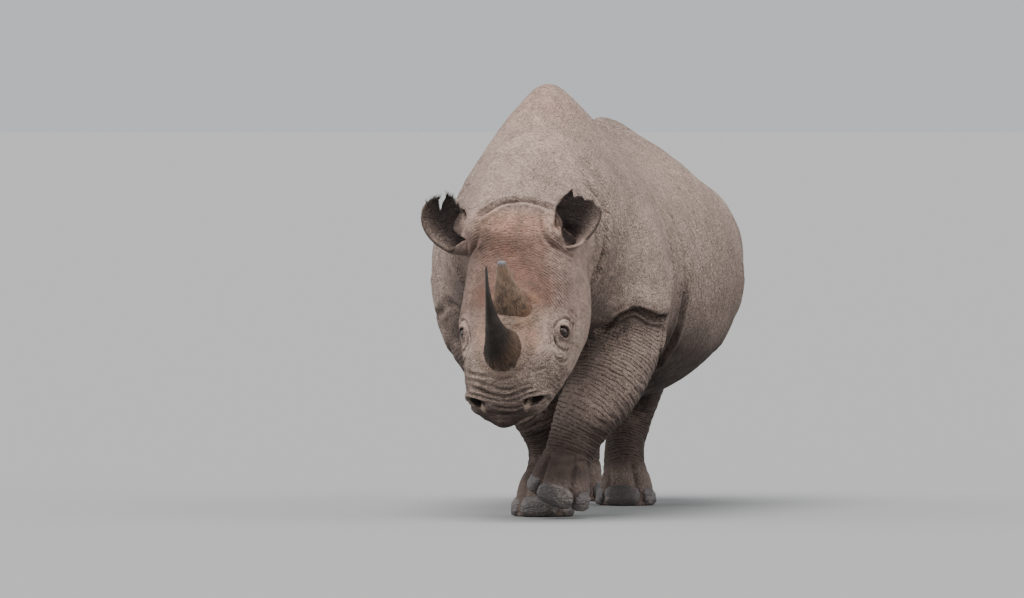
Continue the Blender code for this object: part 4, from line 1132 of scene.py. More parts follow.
def colour_fields(mesh, inner):
    """Soft masks: tan, red-brown, pale with some painted highlights, dark that is mostly painted shade,
    inside of ear and nostril as painted shade, netted skin, rough back.
    """
    points, normals = read_points(mesh), read_normals(mesh)
    a, x, z, face = face_field(points)
    x_own, y_own, z_own = points.T
    blob = lambda place, size: np.exp(-(((points - np.asarray(place)) / size) ** 2).sum(axis=1))
    ruddy = face * (smooth(a, 0.07, 0.15) * smooth(-a, -0.42, -0.32) * np.exp(-(x / 0.19) ** 2)
                    + 0.5 * np.exp(-((a - 0.37) / 0.10) ** 2 - ((np.abs(x) - 0.11) / 0.05) ** 2))
    warm = 1.1 * face * np.exp(-((a - 0.072) / 0.054) ** 2 - (x / 0.13) ** 2)
    warm += (0.45 * blob((0.0, -0.16, 1.46), (0.16, 0.20, 0.16))
             + 0.20 * blob((0.3, 0.8, 1.2), (0.3, 0.5, 0.2)))
    front, rear, on_top = horn_feet(points)
    collar = on_top * (np.exp(-((front - 1.1) / 0.25) ** 2) + np.exp(-((rear - 1.1) / 0.2) ** 2))
    pale = face * (0.25 * np.exp(-((a - 0.055) / 0.035) ** 2 - (x / 0.09) ** 2)
                   + 0.30 * smooth(a, 0.50, 0.62) * smooth(z, -0.12, -0.03) * smooth(-a, -0.68, -0.62))
    pale += 0.45 * blob(on_head((0.415, 0.115, 0.045)), (0.030, 0.030, 0.040))
    # Painted light: the upper flanks paler, as if lit from above.
    pale += 0.60 * smooth(z_own, 0.95, 1.15) * smooth(np.abs(x_own), 0.15, 0.3) * smooth(y_own, 0.1, 0.4)
    for x_side in (-0.085, 0.085):
        warm += 0.8 * blob(on_head((0.465, x_side, 0.06)), (0.035, 0.05, 0.06))
    pale += (0.35 * smooth(x_own, 0.10, 0.16) * face * smooth(a, 0.30, 0.40)
             * smooth(-a, -0.60, -0.50) * smooth(-z, 0.0, 0.08))
    for sign in (1, -1):
        pale += 0.7 * blob(on_head((0.395, sign * 0.187, 0.000)), 0.024)
        pale += 0.6 * blob(on_head((0.505, sign * 0.170, -0.020)), 0.030)
        # Painted highlight on the lower bulge of each shoulder.
        pale += 0.3 * blob((sign * 0.40, -0.06, 0.76), (0.10, 0.10, 0.05))
        pale += 0.35 * blob(on_head((0.385, sign * 0.130, 0.035)), (0.055, 0.050, 0.050))
    # The dark mask is mostly painted shade. Here: darker down the legs, less so just above the ground.
    leg = smooth(-z_own, -0.62, -0.30)
    dark = (0.45 * leg + (0.80 - 0.25 * smooth(y_own, 0.3, 0.5)) * smooth(-z_own, -0.40, -0.24)
            - 0.45 * smooth(-z_own, -0.17, -0.11))
    # Painted shade on the undersides that face the floor, and under the belly between the legs.
    under = smooth(-normals[:, 2], 0.0, 0.9) * smooth(z_own, 0.32, 0.40) * smooth(y_own, 0.0, 0.2)
    dark += (0.62 * under * smooth(-z_own, -0.70, -0.45)
             + 0.9 * blob((0.25, 0.22, 0.45), (0.2, 0.25, 0.16)))
    # Painted shade round the opening of each eye's lids.
    for sign in (1, -1):
        _, _, out, almond = lid_place(points, sign)
        dark += 0.75 * smooth(-almond, -1.40, -1.02) * (np.abs(out) < 0.05)
    # Painted shadow along the flank folds and under the overhang of each shoulder's fold.
    for path, _, _ in FLANK_FOLDS:
        for side in mirrored(path):
            dark += 0.42 * np.exp(-(path_gap(points, side) / 0.042) ** 2)
    for side in mirrored(np.array(SHOULDER_FOLD) + (0.0, 0.0, -0.03)):
        dark += 0.5 * np.exp(-(path_gap(points, side) / 0.030) ** 2)
    # Painted shade under the chest between the forelegs, and on every surface that faces downward, less
    # on the face.
    dark += 0.9 * blob((0.0, -0.1, 0.55), (0.3, 0.3, 0.12))
    dark += 0.85 * smooth(-normals[:, 2], 0.05, 0.80) * (1 - 0.6 * face)
    dark += face * (0.15 * smooth(a, 0.56, 0.64) + 0.75 * smooth(a, 0.685, 0.73))
    # Painted shade deep in each nostril.
    for sign, nostril in NOSTRILS:
        gap, wide, down, hole, deep = nostril_field(points, sign, nostril)
        core = np.linalg.norm((gap + (0, 0.004, 0)) / (0.021, 0.027, 0.021), axis=1)
        dark += 1.3 * np.exp(-core ** 4)
        # The fold at each nostril: a painted highlight of wet skin, with the painted shade taken off it.
        fold = np.exp(-(((wide + 0.016) / 0.0095) ** 2 + ((down - 0.022) / 0.023) ** 2) ** 2)
        fold *= np.linalg.norm(gap, axis=1) < 0.06
        dark *= 1 - fold
        pale += 1.2 * fold
        # Painted shade inside each nostril, laid with the ears' cup shade.
        inside = 0.95 * (deep < 0.060) * smooth(-hole, -1.10, -0.80) * (1 - fold)
        inner = np.maximum(inner, inside)
    net = face * smooth(a, 0.50, 0.56) * (0.55 + 0.6 * smooth(np.abs(x), 0.12, 0.155))
    net += (0.55 - 0.25 * face) * smooth(z_own, 0.50, 0.75) + 0.35 * smooth(y_own, 0.2, 0.5)
    back = np.exp(-(x_own / 0.16) ** 2) * smooth(z_own, 1.22, 1.32) * smooth(y_own, 0.10, 0.25)
    grit = 1 - 0.62 * face * smooth(-a, -0.66, -0.50)
    return dict(warm=warm, ruddy=ruddy, collar=collar, pale=pale, dark=dark, inner=inner, net=net,
                back=back, grit=grit)


# ---------------------------------------------------------------- horns

def horn_line(place, length, curl, forward, lean, samples):
    """The horn's arc, its cross-section's directions and how far up it each sample lies."""
    start = unit(UP * cos(forward) + ALONG * sin(forward) - ACROSS * sin(lean))
    coarse = np.linspace(0, 1, 13)
    heading = np.cos(curl * coarse)[:, None] * start - np.sin(curl * coarse)[:, None] * ALONG
    line = on_head(place) + np.cumsum(heading * length / 12, axis=0)
    line = spline(line, samples, 3)
    s = np.linspace(0, 1, samples)
    normal = np.cos(curl * s)[:, None] * ALONG + np.sin(curl * s)[:, None] * start
    return line, normal, s


def horn_piece(name, material, splay, place, length, width, depth, curl, forward, lean, taper, tip):
    """An oval carried along an arc. Its size is tip + (1 - tip)(1 - s)^taper; the foot splays into
    fibres: a radial noise that runs along the horn and dies out up it."""
    samples, around = HORN_GRID
    line, normal, s = horn_line(place, length, curl, forward, lean, samples)
    below = np.linspace(-0.030, -0.002, HORN_FOOT_RINGS)[:, None] * unit(line[1] - line[0])
    line = np.concatenate([line[0] + below, line])
    normal = np.concatenate([np.repeat(normal[:1], HORN_FOOT_RINGS, axis=0), normal])
    s = np.concatenate([np.linspace(-0.06, -0.005, HORN_FOOT_RINGS), s])
    size = tip + (1 - tip) * (1 - np.clip(s, 0, 1)) ** taper
    size *= 1 + 0.07 * np.exp(-np.clip(s + 0.06, 0, 1) / 0.04)
    end = np.clip((s - 0.955) / 0.045, 0, 1)
    size *= np.sqrt(np.clip(1 - 0.985 * end ** 2, 0, 1))
    angle = np.linspace(0, 2 * pi, around, endpoint=False)
    ring = np.stack([np.cos(angle), np.sin(angle)], -1)
    flat = np.concatenate([np.tile(ring, (len(s), 1)), np.repeat(s, around)[:, None]], -1)
    fibres = noise(flat * (1, 1, 0.9), 9) + 0.7 * noise(flat * (1, 1, 0.5), 22)
    fibres = fibres.reshape(len(s), around)
    growth = np.sin(s * 55 + 2 * noise(flat, 2).reshape(len(s), around).T).T
    rough = splay * np.exp(-np.clip(s, 0, 1) / 0.16)[:, None]
    radius = 1 + rough * fibres * 0.5 + 0.010 * growth * np.exp(-np.clip(s, 0, 1) / 0.35)[:, None]
    wide = np.sin(angle) * width * size[:, None] * radius
    deep = np.cos(angle) * depth * size[:, None] * radius
    points = line[:, None] + ACROSS * wide[..., None] + normal[:, None] * deep[..., None]
    mesh = mesh_of(name, points + SHIFT, rings_faces(len(s), around))
    add_values(mesh, "rise", np.repeat(s, around))
    for label, column in zip(("grain_x", "grain_y"), ring.T):
        add_values(mesh, label, np.tile(column, len(s)))
    mesh.shade_smooth()
    finish(show(name, mesh), material, "horn", name)


# ---------------------------------------------------------------- toenails

def foot_axes(stations, sole):
    """The middle of a sole with the foot's side, back and upward directions."""
    if sole == 0:
        return np.array((*stations[-1][:2], 0.0)), np.eye(3)
    rows = spline(stations, 200, 3)[::-1]
    at = lambda z: np.array([np.interp(z, rows[:, 2], rows[:, i]) for i in range(3)])
    upward = unit(at(sole + 0.01) - at(sole - 0.01))
    side = unit(np.cross((0.0, -1.0, 0.0), -upward))
    back = np.cross(upward, side)
    return at(sole), np.stack([cos(FOOT_ROLL) * side - sin(FOOT_ROLL) * upward, back,
                               sin(FOOT_ROLL) * side + cos(FOOT_ROLL) * upward])


def nail_piece(name, stations, sole, toe, size):
    """A worn shield in front of a toe: a superellipsoid leaning back, cut level above the sole,
    with growth lines round it and a ragged lower edge."""
    middle, axes = foot_axes(stations, sole)
    width, depth = stations[-1][3:5]
    half_width, half_depth, half_height = size
    reach = np.hypot(width * sin(toe), depth * cos(toe)) - NAIL_INSET
    rows, around = NAIL_GRID
    v = np.linspace(-pi / 2, pi / 2, rows)[:, None]
    u = np.linspace(0, 2 * pi, around, endpoint=False)[None]
    belt = signed_power(np.cos(v), 0.72)
    x = half_width * belt * signed_power(np.cos(u), 0.75)
    y = half_depth * belt * signed_power(np.sin(u), 0.75)
    z = half_height * signed_power(np.sin(v), 0.85) + 0 * u
    grid = np.stack([x, y, z], -1)
    flat = grid.reshape(-1, 3) + toe * 3 + middle
    lines = 0.0010 * np.sin(z / 0.0042 + 3 * noise(flat, 25).reshape(z.shape))
    chips = 0.0018 * noise(flat, 60).reshape(z.shape) + 0.003 * noise(flat, 18).reshape(z.shape)
    grid = grid * (1 + ((lines + chips) / half_width)[..., None])
    lean = np.array(((1, 0, 0), (0, cos(NAIL_SLOPE), -sin(NAIL_SLOPE)),
                     (0, sin(NAIL_SLOPE), cos(NAIL_SLOPE))))
    grid = grid @ lean
    grid[..., 1] -= reach
    grid[..., 2] += NAIL_LIFT + half_height * 0.75
    edge = NAIL_LIFT + 0.0015 * np.abs(noise(flat, 70)).reshape(z.shape)
    grid[..., 2] = np.maximum(grid[..., 2], edge)
    turn = np.array(((cos(toe), sin(toe), 0), (-sin(toe), cos(toe), 0), (0, 0, 1)))
    points = middle + (grid @ turn) @ axes
    mesh = mesh_of(name, points + SHIFT, rings_faces(rows, around))
    add_values(mesh, "rise", np.repeat(np.linspace(0, 1, rows), around))
    mesh.shade_smooth()
    finish(show(name, mesh), "nail", "nail", name)


# ---------------------------------------------------------------- eyes

def eye_piece(side):
    """A ball with the clear front's slight bulge; its own attribute is the angle from the gaze."""
    sign = 1 if side == "left" else -1
    gaze = unit((LID_OUT + np.array((0.16, 0.0, 0.10))) * (1, sign, 1)) @ HEAD_AXES
    side_way = unit(np.cross(gaze, (0.0, 0.0, 1.0)))
    up_way = np.cross(side_way, gaze)
    rows, around = EYE_GRID
    v = np.linspace(0.0, pi, rows + 2)[1:-1, None]
    u = np.linspace(0, 2 * pi, around, endpoint=False)[None]
    radius = EYE_RADIUS * (1 + 0.05 * np.exp(-(v / 0.50) ** 2)) + 0 * u
    points = on_head(np.array(EYE_PLACE) * (1, sign, 1)) + radius[..., None] * (
        np.cos(v)[..., None] * gaze + (np.sin(v) * np.cos(u))[..., None] * side_way
        + (np.sin(v) * np.sin(u))[..., None] * up_way)
    mesh = mesh_of("eye_" + side, points + SHIFT, rings_faces(rows, around))
    add_values(mesh, "away", np.repeat(v[:, 0], around))
    mesh.shade_smooth()
    finish(show("eye_" + side + "_ball", mesh), "eye", "eye", "eye_" + side)


# ---------------------------------------------------------------- bristles

def bristles(name, roots, heading, length, radius, droop, uv, *nodes):
    """Many hairs as one mesh. Each is a three-sided blade of five rings: root + t L heading, bent
    down by droop t^2 L, its radius falling to a tenth."""
    count = len(roots)
    corners = BRISTLE_RINGS * BRISTLE_SIDES
    t = np.linspace(0, 1, BRISTLE_RINGS)[None, :, None]
    long = length[:, None, None]
    line = (roots[:, None] + t * long * heading[:, None]
            + t ** 2 * long * droop * np.array((0.0, 0.0, -1.0)))
    down = unit(heading)
    side = unit(np.cross(down, (0.31, 0.17, 0.93)))
    front = np.cross(down, side)
    angle = np.linspace(0, 2 * pi, BRISTLE_SIDES, endpoint=False)
    ring = (np.cos(angle)[:, None] * side[:, None] + np.sin(angle)[:, None] * front[:, None])
    size = radius * (1 - 0.9 * t ** 1.5)
    points = line[:, :, None] + size[..., None] * ring[:, None]
    faces = np.array(rings_faces(BRISTLE_RINGS, BRISTLE_SIDES, False))
    caps = np.array([[2, 1, 0], [corners - 3, corners - 2, corners - 1]])
    start = np.arange(count)[:, None, None] * corners
    every = (faces + start).reshape(-1, 4).tolist() + (caps + start).reshape(-1, 3).tolist()
    mesh = mesh_of(name, points + SHIFT, every)
    layer = mesh.uv_layers.new(name="OFBake")
    corner = np.empty(len(mesh.loops), dtype=np.int32)
    mesh.loops.foreach_get("vertex_index", corner)
    turn = corner % BRISTLE_SIDES * 2.1
    ring_number = corner % corners // BRISTLE_SIDES
    spot = uv[corner // corners] + 0.0015 * np.stack([np.cos(turn), np.sin(turn)], -1) * (
        1 - ring_number / BRISTLE_RINGS)[:, None]
    layer.data.foreach_set("uv", spot.astype(np.float32).ravel())
    mesh.shade_smooth()
    finish(show(name, mesh), "hair", "hair", *nodes)


def ear_fringe():
    """Short dark bristles along the torn rims of the ears, thickest on the right ear's top."""
    dice = np.random.default_rng(11)
    roots, heading, uv, length = [], [], [], []
    for number, (side, count) in enumerate((("right", 330), ("left", 170))):
        outer, inner, _, v = ear_walls(side, *RIM_EAR_GRID)
        edge = (outer[-1] + inner[-1]) / 2
        onward = unit(outer[-1] - outer[-6])
        j = dice.integers(3, edge.shape[0] - 3, count)
        j = j[(v[0, j] > (-0.75 if side == "right" else -0.9)) & (v[0, j] < 0.8)]
        roots.append(edge[j] - 0.003 * onward[j])
        heading.append(unit(onward[j] + 0.35 * dice.normal(size=(len(j), 3))))
        length.append((0.020 if side == "right" else 0.006) * (0.5 + dice.random(len(j))))
        column_place = 0.05 + 0.4 * number + 0.3 * (v[0, j] + 1) / 2
        uv.append(np.stack([column_place, 0.9 + 0.05 * dice.random(len(j))], -1))
        column = dice.integers(0, 2, count) * (v.shape[1] - 1)
        row = dice.integers(38, 70, count)
        across = unit(outer[row, column] - outer[row, np.where(column > 0, column - 4, 4)])
        roots.append((outer[row, column] + inner[row, column]) / 2 - 0.003 * across)
        heading.append(unit(across + 0.5 * onward[column] + 0.3 * dice.normal(size=(count, 3))))
        length.append(0.006 * (0.5 + dice.random(count)))
        uv.append(np.stack([0.05 + 0.4 * number + 0.3 * (column > 0), 0.5 + 0.4 * row / 70], -1))
    roots, heading, uv, length = (np.concatenate(part) for part in (roots, heading, uv, length))
    bristles("ear_fringe", roots, heading, length, 0.0008, 0.10, uv)


def tail_bristles():
    """The tail's tuft: long bristles from both edges and the tip of its last stretch."""
    dice = np.random.default_rng(5)
    count, tuft_top = 620, 0.70
    rows = spline(TAIL, TUFT_SAMPLES, 3)
    low = np.searchsorted(-rows[:, 2], -tuft_top)
    n = low + (dice.random(count) ** 0.8 * (TUFT_SAMPLES - 1 - low)).astype(int)
    down, side, front = limb_axes(rows[:, :3])
    angle = dice.random(count) * 2 * pi
    out = np.cos(angle)[:, None] * front[n] + np.sin(angle)[:, None] * side[n]
    roots = rows[n, :3] + out * rows[n, 3:4] * 0.85
    out[:, 1] = np.minimum(out[:, 1], 0.1)
    heading = unit(down[n] + out * (0.10 + 0.16 * dice.random(count))[:, None]
                   + 0.06 * dice.normal(size=(count, 3)))
    length = np.minimum(0.055 + 0.085 * dice.random(count), (roots[:, 2] - 0.495) / 0.98)
    uv = np.stack([0.05 + 0.9 * angle / (2 * pi), 0.05 + 0.4 * (n - low) / (TUFT_SAMPLES - low)], -1)
    bristles("tail_bristles", roots, heading, length, 0.0012, 0.04, uv, "tail_tuft")


# ---------------------------------------------------------------- finishes

def fill(tree, made, values):
    """Gives a node's inputs constants, or links them to other sockets."""
    for key, value in values.items():
        if isinstance(value, bpy.types.NodeSocket):
            tree.links.new(value, made.inputs[key])
        else:
            made.inputs[key].default_value = value


def node(tree, kind, values=(), **settings):
    """A shader node, with its settings and with inputs given as constants or as other sockets."""
    made = tree.nodes.new(kind)
    for key, value in settings.items():
        setattr(made, key, value)
    fill(tree, made, dict(values))
    return made


def calc(tree, operation, a, b=0.0, c=0.0, clamp=False):
    return node(tree, "ShaderNodeMath", {0: a, 1: b, 2: c}, operation=operation,
                use_clamp=clamp).outputs[0]


def times(tree, a, b, clamp=False):
    return calc(tree, "MULTIPLY", a, b, clamp=clamp)


def blend_colour(tree, factor, a, b):
    """The first colour covered by the second as far as the factor says."""
    colour = lambda value: (*value, 1.0) if isinstance(value, tuple) else value
    return node(tree, "ShaderNodeMix", {0: factor, 6: colour(a), 7: colour(b)},
                data_type="RGBA").outputs[2]


def covered(tree, colour, *layers):
    """The colour with layers laid over it one by one, each a factor and a colour."""
    for factor, over in layers:
        colour = blend_colour(tree, factor, colour, over)
    return colour


def spread(tree, value, low, high, to_low=0.0, to_high=1.0):
    """A smooth step of a value between two limits."""
    return node(tree, "ShaderNodeMapRange", {0: value, 1: low, 2: high, 3: to_low, 4: to_high},
                interpolation_type="SMOOTHSTEP").outputs[0]


def attribute(tree, name):
    return node(tree, "ShaderNodeAttribute", attribute_name=name).outputs["Fac"]


def cloud(tree, place, scale, detail=3.0, roughness=0.6):
    return node(tree, "ShaderNodeTexNoise", {"Vector": place, "Scale": scale, "Detail": detail,
                                             "Roughness": roughness}).outputs["Fac"]


def group(name, inputs, outputs, build):
    """A node group with named inputs (name, default) and outputs, filled by a function."""
    made = bpy.data.node_groups.new(name, "ShaderNodeTree")
    for label, kind, default in inputs:
        socket = made.interface.new_socket(name=label, in_out="INPUT", socket_type=kind)
        if default is not None:
            socket.default_value = default
    for label, kind in outputs:
        made.interface.new_socket(name=label, in_out="OUTPUT", socket_type=kind)
    start = made.nodes.new("NodeGroupInput")
    end = made.nodes.new("NodeGroupOutput")
    for label, value in build(made, start.outputs).items():
        made.links.new(value, end.inputs[label])
    return made


def build_dust(tree, given):
    """Pale earth that settles in patches: coarse noise times fine noise."""
    coarse = spread(tree, cloud(tree, given["Place"], 7.0, 4.0), 0.42, 0.68)
    fine = spread(tree, cloud(tree, given["Place"], 140.0, 3.0), 0.35, 0.75)
    amount = times(tree, times(tree, coarse, fine), given["Amount"], clamp=True)
    colour = blend_colour(tree, amount, given["Colour"], given["Dust"])
    return {"Colour": colour, "Amount": amount}


def build_wrinkles(tree, given):
    """Broken furrows: where the wrinkle count, pushed about by noise, passes a whole number."""
    push = calc(tree, "SUBTRACT", cloud(tree, given["Place"], 26.0, 3.0), 0.5)
    count = calc(tree, "MULTIPLY_ADD", push, given["Wander"], given["Count"])
    away = calc(tree, "ABSOLUTE", calc(tree, "SUBTRACT", calc(tree, "FRACT", count), 0.5))
    furrow = spread(tree, away, 0.0, given["Width"], 1.0, 0.0)
    broken = spread(tree, cloud(tree, given["Place"], 42.0, 2.0), 0.36, 0.56)
    depth = times(tree, times(tree, furrow, broken), given["Strength"])
    return {"Furrow": depth}


def build_net(tree, given):
    """Cracked skin: the edges of two sizes of Voronoi cells, bent by noise."""
    bend = node(tree, "ShaderNodeTexNoise", {"Vector": given["Place"], "Scale": given["Scale"],
                                             "Detail": 2.0}).outputs["Color"]
    moved = node(tree, "ShaderNodeVectorMath", {0: bend, 1: (0.012, 0.012, 0.012)},
                 operation="MULTIPLY").outputs[0]
    place = node(tree, "ShaderNodeVectorMath", {0: given["Place"], 1: moved}, operation="ADD").outputs[0]
    edges = []
    for factor, width in ((1.0, 0.10), (2.7, 0.14)):
        cells = node(tree, "ShaderNodeTexVoronoi",
                     {"Vector": place, "Scale": times(tree, given["Scale"], factor)},
                     feature="DISTANCE_TO_EDGE").outputs["Distance"]
        edges.append(spread(tree, cells, 0.0, width, 1.0, 0.0))
    crack = calc(tree, "MAXIMUM", edges[0], times(tree, edges[1], 0.55))
    return {"Crack": crack}


def build_fibres(tree, given):
    """Streaks that run up a horn: noise on its round section, stretched along its length."""
    place = node(tree, "ShaderNodeCombineXYZ", {0: attribute(tree, "grain_x"),
                                               1: attribute(tree, "grain_y"),
                                               2: times(tree, attribute(tree, "rise"), 0.35)})
    streak = cloud(tree, place.outputs[0], given["Scale"], 5.0, 0.7)
    return {"Streak": streak}


FLOAT, COLOUR, VECTOR = "NodeSocketFloat", "NodeSocketColor", "NodeSocketVector"
DUST = group("settled_dust", [("Place", VECTOR, None), ("Colour", COLOUR, None),
                              ("Dust", COLOUR, (0.42, 0.35, 0.28, 1)), ("Amount", FLOAT, 0.5)],
             [("Colour", COLOUR), ("Amount", FLOAT)], build_dust)
WRINKLES = group("fine_wrinkles", [("Place", VECTOR, None), ("Count", FLOAT, 0.0),
                                   ("Strength", FLOAT, 1.0), ("Wander", FLOAT, 1.2),
                                   ("Width", FLOAT, 0.22)], [("Furrow", FLOAT)], build_wrinkles)
NET = group("cracked_net", [("Place", VECTOR, None), ("Scale", FLOAT, 40.0)],
            [("Crack", FLOAT)], build_net)
FIBRES = group("horn_fibres", [("Scale", FLOAT, 14.0)], [("Streak", FLOAT)], build_fibres)


def use(tree, shared, **values):
    """The outputs of a shared node group, given its inputs."""
    made = tree.nodes.new("ShaderNodeGroup")
    made.node_tree = shared
    fill(tree, made, values)
    return made.outputs


def new_material(name):
    """A material, its node tree, its shader and the object's own coordinates."""
    made = bpy.data.materials.new(name)
    made.use_nodes = True
    tree = made.node_tree
    return made, tree, tree.nodes["Principled BSDF"], node(tree, "ShaderNodeTexCoord").outputs["Object"]


def bump(tree, shader, height, distance):
    """Relief of the shader's surface, as high as the distance where the height is 1."""
    made = node(tree, "ShaderNodeBump", {"Height": height, "Distance": distance, "Strength": 1.0})
    fill(tree, shader, {"Normal": made.outputs[0]})


def hide_material():
    """Grey-brown hide: mottled, warm on the brow and hump, pale on the nose and lids, with painted
    highlights on the ridges, shoulders, upper flanks and nostrils' folds, painted shade in the creases,
    cracks, folds, undersides, ear cups and nostrils, darker down the legs, with dust, scratches,
    cracked skin and fine wrinkles."""
    made, tree, shader, place = new_material("hide")
    mask = {name: attribute(tree, name)
            for name in ("warm", "ruddy", "collar", "pale", "dark", "inner", "net", "back", "grit",
                         "hollow", "count", "furrows")}
    broad = cloud(tree, place, 3.2, 4.0)
    middle = cloud(tree, place, 19.0, 4.0, 0.65)
    speck = cloud(tree, place, 210.0, 3.0)
    strand = cloud(tree, place, 75.0, 3.0, 0.7)
    patch = {name: times(tree, mask[name], spread(tree, source, *limits), clamp=True)
             for name, source, limits in (
                 ("warm", middle, (0.2, 0.75, 0.62, 1.0)), ("ruddy", middle, (0.2, 0.75, 0.75, 1.0)),
                 ("collar", strand, (0.35, 0.65, 0.45, 1.0)), ("pale", middle, (0.3, 0.6, 0.4, 1.0)),
                 ("dark", broad, (0.2, 0.7, 1.0, 0.75)))}
    # Painted shade at its darkest, near black.
    deepest_shade = calc(tree, "SUBTRACT", mask["dark"], 1.0, clamp=True)
    # Where neither painted shade nor red-brown lies.
    plain = calc(tree, "SUBTRACT", calc(tree, "SUBTRACT", 1.0, mask["dark"], clamp=True),
                 times(tree, patch["ruddy"], 0.7), clamp=True)
    tall = node(tree, "ShaderNodeMapping", {"Vector": place, "Scale": (1.0, 1.0, 0.22)}).outputs[0]
    streaks = spread(tree, cloud(tree, tall, 26.0, 4.0, 0.7), 0.42, 0.66, 0.0, 0.42)
    grit = spread(tree, cloud(tree, place, 92.0, 4.0, 0.75), 0.38, 0.64, 0.0, 0.60)
    flakes = spread(tree, cloud(tree, place, 44.0, 4.0, 0.7), 0.46, 0.58, 0.0, 0.75)
    crack = use(tree, NET, Place=place, Scale=38.0)["Crack"]
    furrow = use(tree, WRINKLES, Place=place, Count=mask["count"], Strength=mask["furrows"])["Furrow"]
    netted = times(tree, crack, calc(tree, "MULTIPLY_ADD", mask["net"], 0.6, 0.14))
    lines = calc(tree, "ADD", times(tree, furrow, 0.75), times(tree, netted, 0.6))
    # Painted highlight on sharply convex ridges of the hide.
    ridge_highlight = spread(tree, mask["hollow"], -60.0, -12.0, 0.30, 0.0)
    slanted = node(tree, "ShaderNodeMapping", {"Vector": place, "Rotation": (0.5, 0.3, 0.8),
                                               "Scale": (1.0, 0.35, 0.5)}).outputs[0]
    scratch = node(tree, "ShaderNodeTexVoronoi", {"Vector": slanted, "Scale": 9.0},
                   feature="DISTANCE_TO_EDGE").outputs["Distance"]
    scored = times(tree, spread(tree, scratch, 0.0, 0.008, 0.35, 0.0),
                   spread(tree, cloud(tree, place, 5.0, 2.0), 0.55, 0.62))
    grains = times(tree, spread(tree, speck, 0.40, 0.66, 0.0, 0.55),
                   times(tree, plain, mask["grit"]))
    colour = covered(
        tree, (0.186, 0.136, 0.119),
        (spread(tree, broad, 0.3, 0.7), (0.345, 0.260, 0.226)),
        (patch["warm"], (0.56, 0.280, 0.188)),
        (patch["ruddy"], (0.132, 0.050, 0.034)),
        (patch["collar"], (0.175, 0.105, 0.068)),
        # pale skin, with painted highlights on the shoulders, upper flanks and nostrils' folds
        (patch["pale"], (0.46, 0.345, 0.28)),
        # painted shade, near black where it is darkest
        (patch["dark"], (0.045, 0.0355, 0.0345)),
        (deepest_shade, (0.010, 0.007, 0.006)),
        (spread(tree, middle, 0.36, 0.68, 0.0, 0.55), (0.085, 0.060, 0.050)),
        (streaks, (0.098, 0.068, 0.056)),
        (times(tree, grit, mask["grit"]), (0.060, 0.042, 0.036)),
        (times(tree, flakes, mask["back"]), (0.050, 0.035, 0.030)),
        # painted shade in the fine furrows and cracks
        (calc(tree, "MINIMUM", lines, 0.7), (0.036, 0.026, 0.022)),
        # painted shade in the creases, by the hide's curvature
        (spread(tree, mask["hollow"], 6.0, 70.0, 0.0, 0.85), (0.022, 0.015, 0.013)),
        # painted highlight on the ridges
        (times(tree, ridge_highlight, calc(tree, "ADD", 0.3, plain)), (0.34, 0.255, 0.205)),
        (times(tree, scored, plain), (0.42, 0.35, 0.30)),
        (grains, (0.42, 0.325, 0.275)))
    colour = use(tree, DUST, Place=place, Colour=colour, Amount=times(tree, plain, 0.22))["Colour"]
    # Painted shade, near black, in the ears' cups, the hide inside them and the nostrils, with the ears'
    # edges darker.
    colour = covered(tree, colour, (times(tree, mask["inner"], 0.96), (0.012, 0.008, 0.008)))
    fill(tree, shader, {"Base Color": colour, "Specular IOR Level": 0.14,
                        "Roughness": spread(tree, middle, 0.2, 0.8, 0.90, 0.68)})
    pores = node(tree, "ShaderNodeTexVoronoi", {"Vector": place, "Scale": 170.0}).outputs["Distance"]
    knobs = node(tree, "ShaderNodeTexVoronoi", {"Vector": place, "Scale": 62.0}).outputs["Distance"]
    knobs = times(tree, knobs, calc(tree, "ADD", mask["back"], 0.28))
    height = times(tree, pores, -0.16)
    for value, factor in ((speck, 0.16), (furrow, -0.95), (netted, -0.8), (knobs, -1.6), (middle, 0.8)):
        height = calc(tree, "MULTIPLY_ADD", value, factor, height)
    bump(tree, shader, height, 0.0055)
    return made


def horn_material(name, foot, shaft, tip, tip_from):
    """Fibrous at the foot and smoother up the shaft, with its own colour at the tip."""
    made, tree, shader, place = new_material(name)
    rise = attribute(tree, "rise")
    streak = use(tree, FIBRES, Scale=11.0)["Streak"]
    fine = use(tree, FIBRES, Scale=30.0)["Streak"]
    edge = calc(tree, "MULTIPLY_ADD", calc(tree, "SUBTRACT", streak, 0.5), 0.35, rise)
    edge = calc(tree, "MULTIPLY_ADD", attribute(tree, "grain_y"), -0.10, edge)
    seam = spread(tree, calc(tree, "MULTIPLY_ADD", streak, 0.06, rise), 0.03, 0.08)
    stain = times(tree, spread(tree, cloud(tree, place, 34.0, 4.0, 0.7), 0.42, 0.62, 0.0, 0.65),
                  spread(tree, rise, 0.35, 0.95, 1.0, 0.3))
    colour = blend_colour(tree, spread(tree, edge, 0.00, 0.20), foot, shaft)
    colour = covered(tree, blend_colour(tree, seam, (0.150, 0.100, 0.078), colour),
                     (spread(tree, rise, tip_from, tip_from + 0.10), tip),
                     (spread(tree, fine, 0.38, 0.66, 0.75, 0.0), (0.012, 0.008, 0.006)),
                     (stain, (0.034, 0.023, 0.018)))
    colour = use(tree, DUST, Place=place, Colour=colour, Amount=0.06)["Colour"]
    fill(tree, shader, {"Base Color": colour, "Specular IOR Level": 0.28,
                        "Roughness": spread(tree, rise, 0.15, 0.85, 0.80, 0.36)})
    fade = spread(tree, rise, 0.05, 0.75, 1.0, 0.12)
    height = times(tree, calc(tree, "ADD", streak, times(tree, fine, 0.8)), fade)
    bump(tree, shader, height, 0.006)
    return made


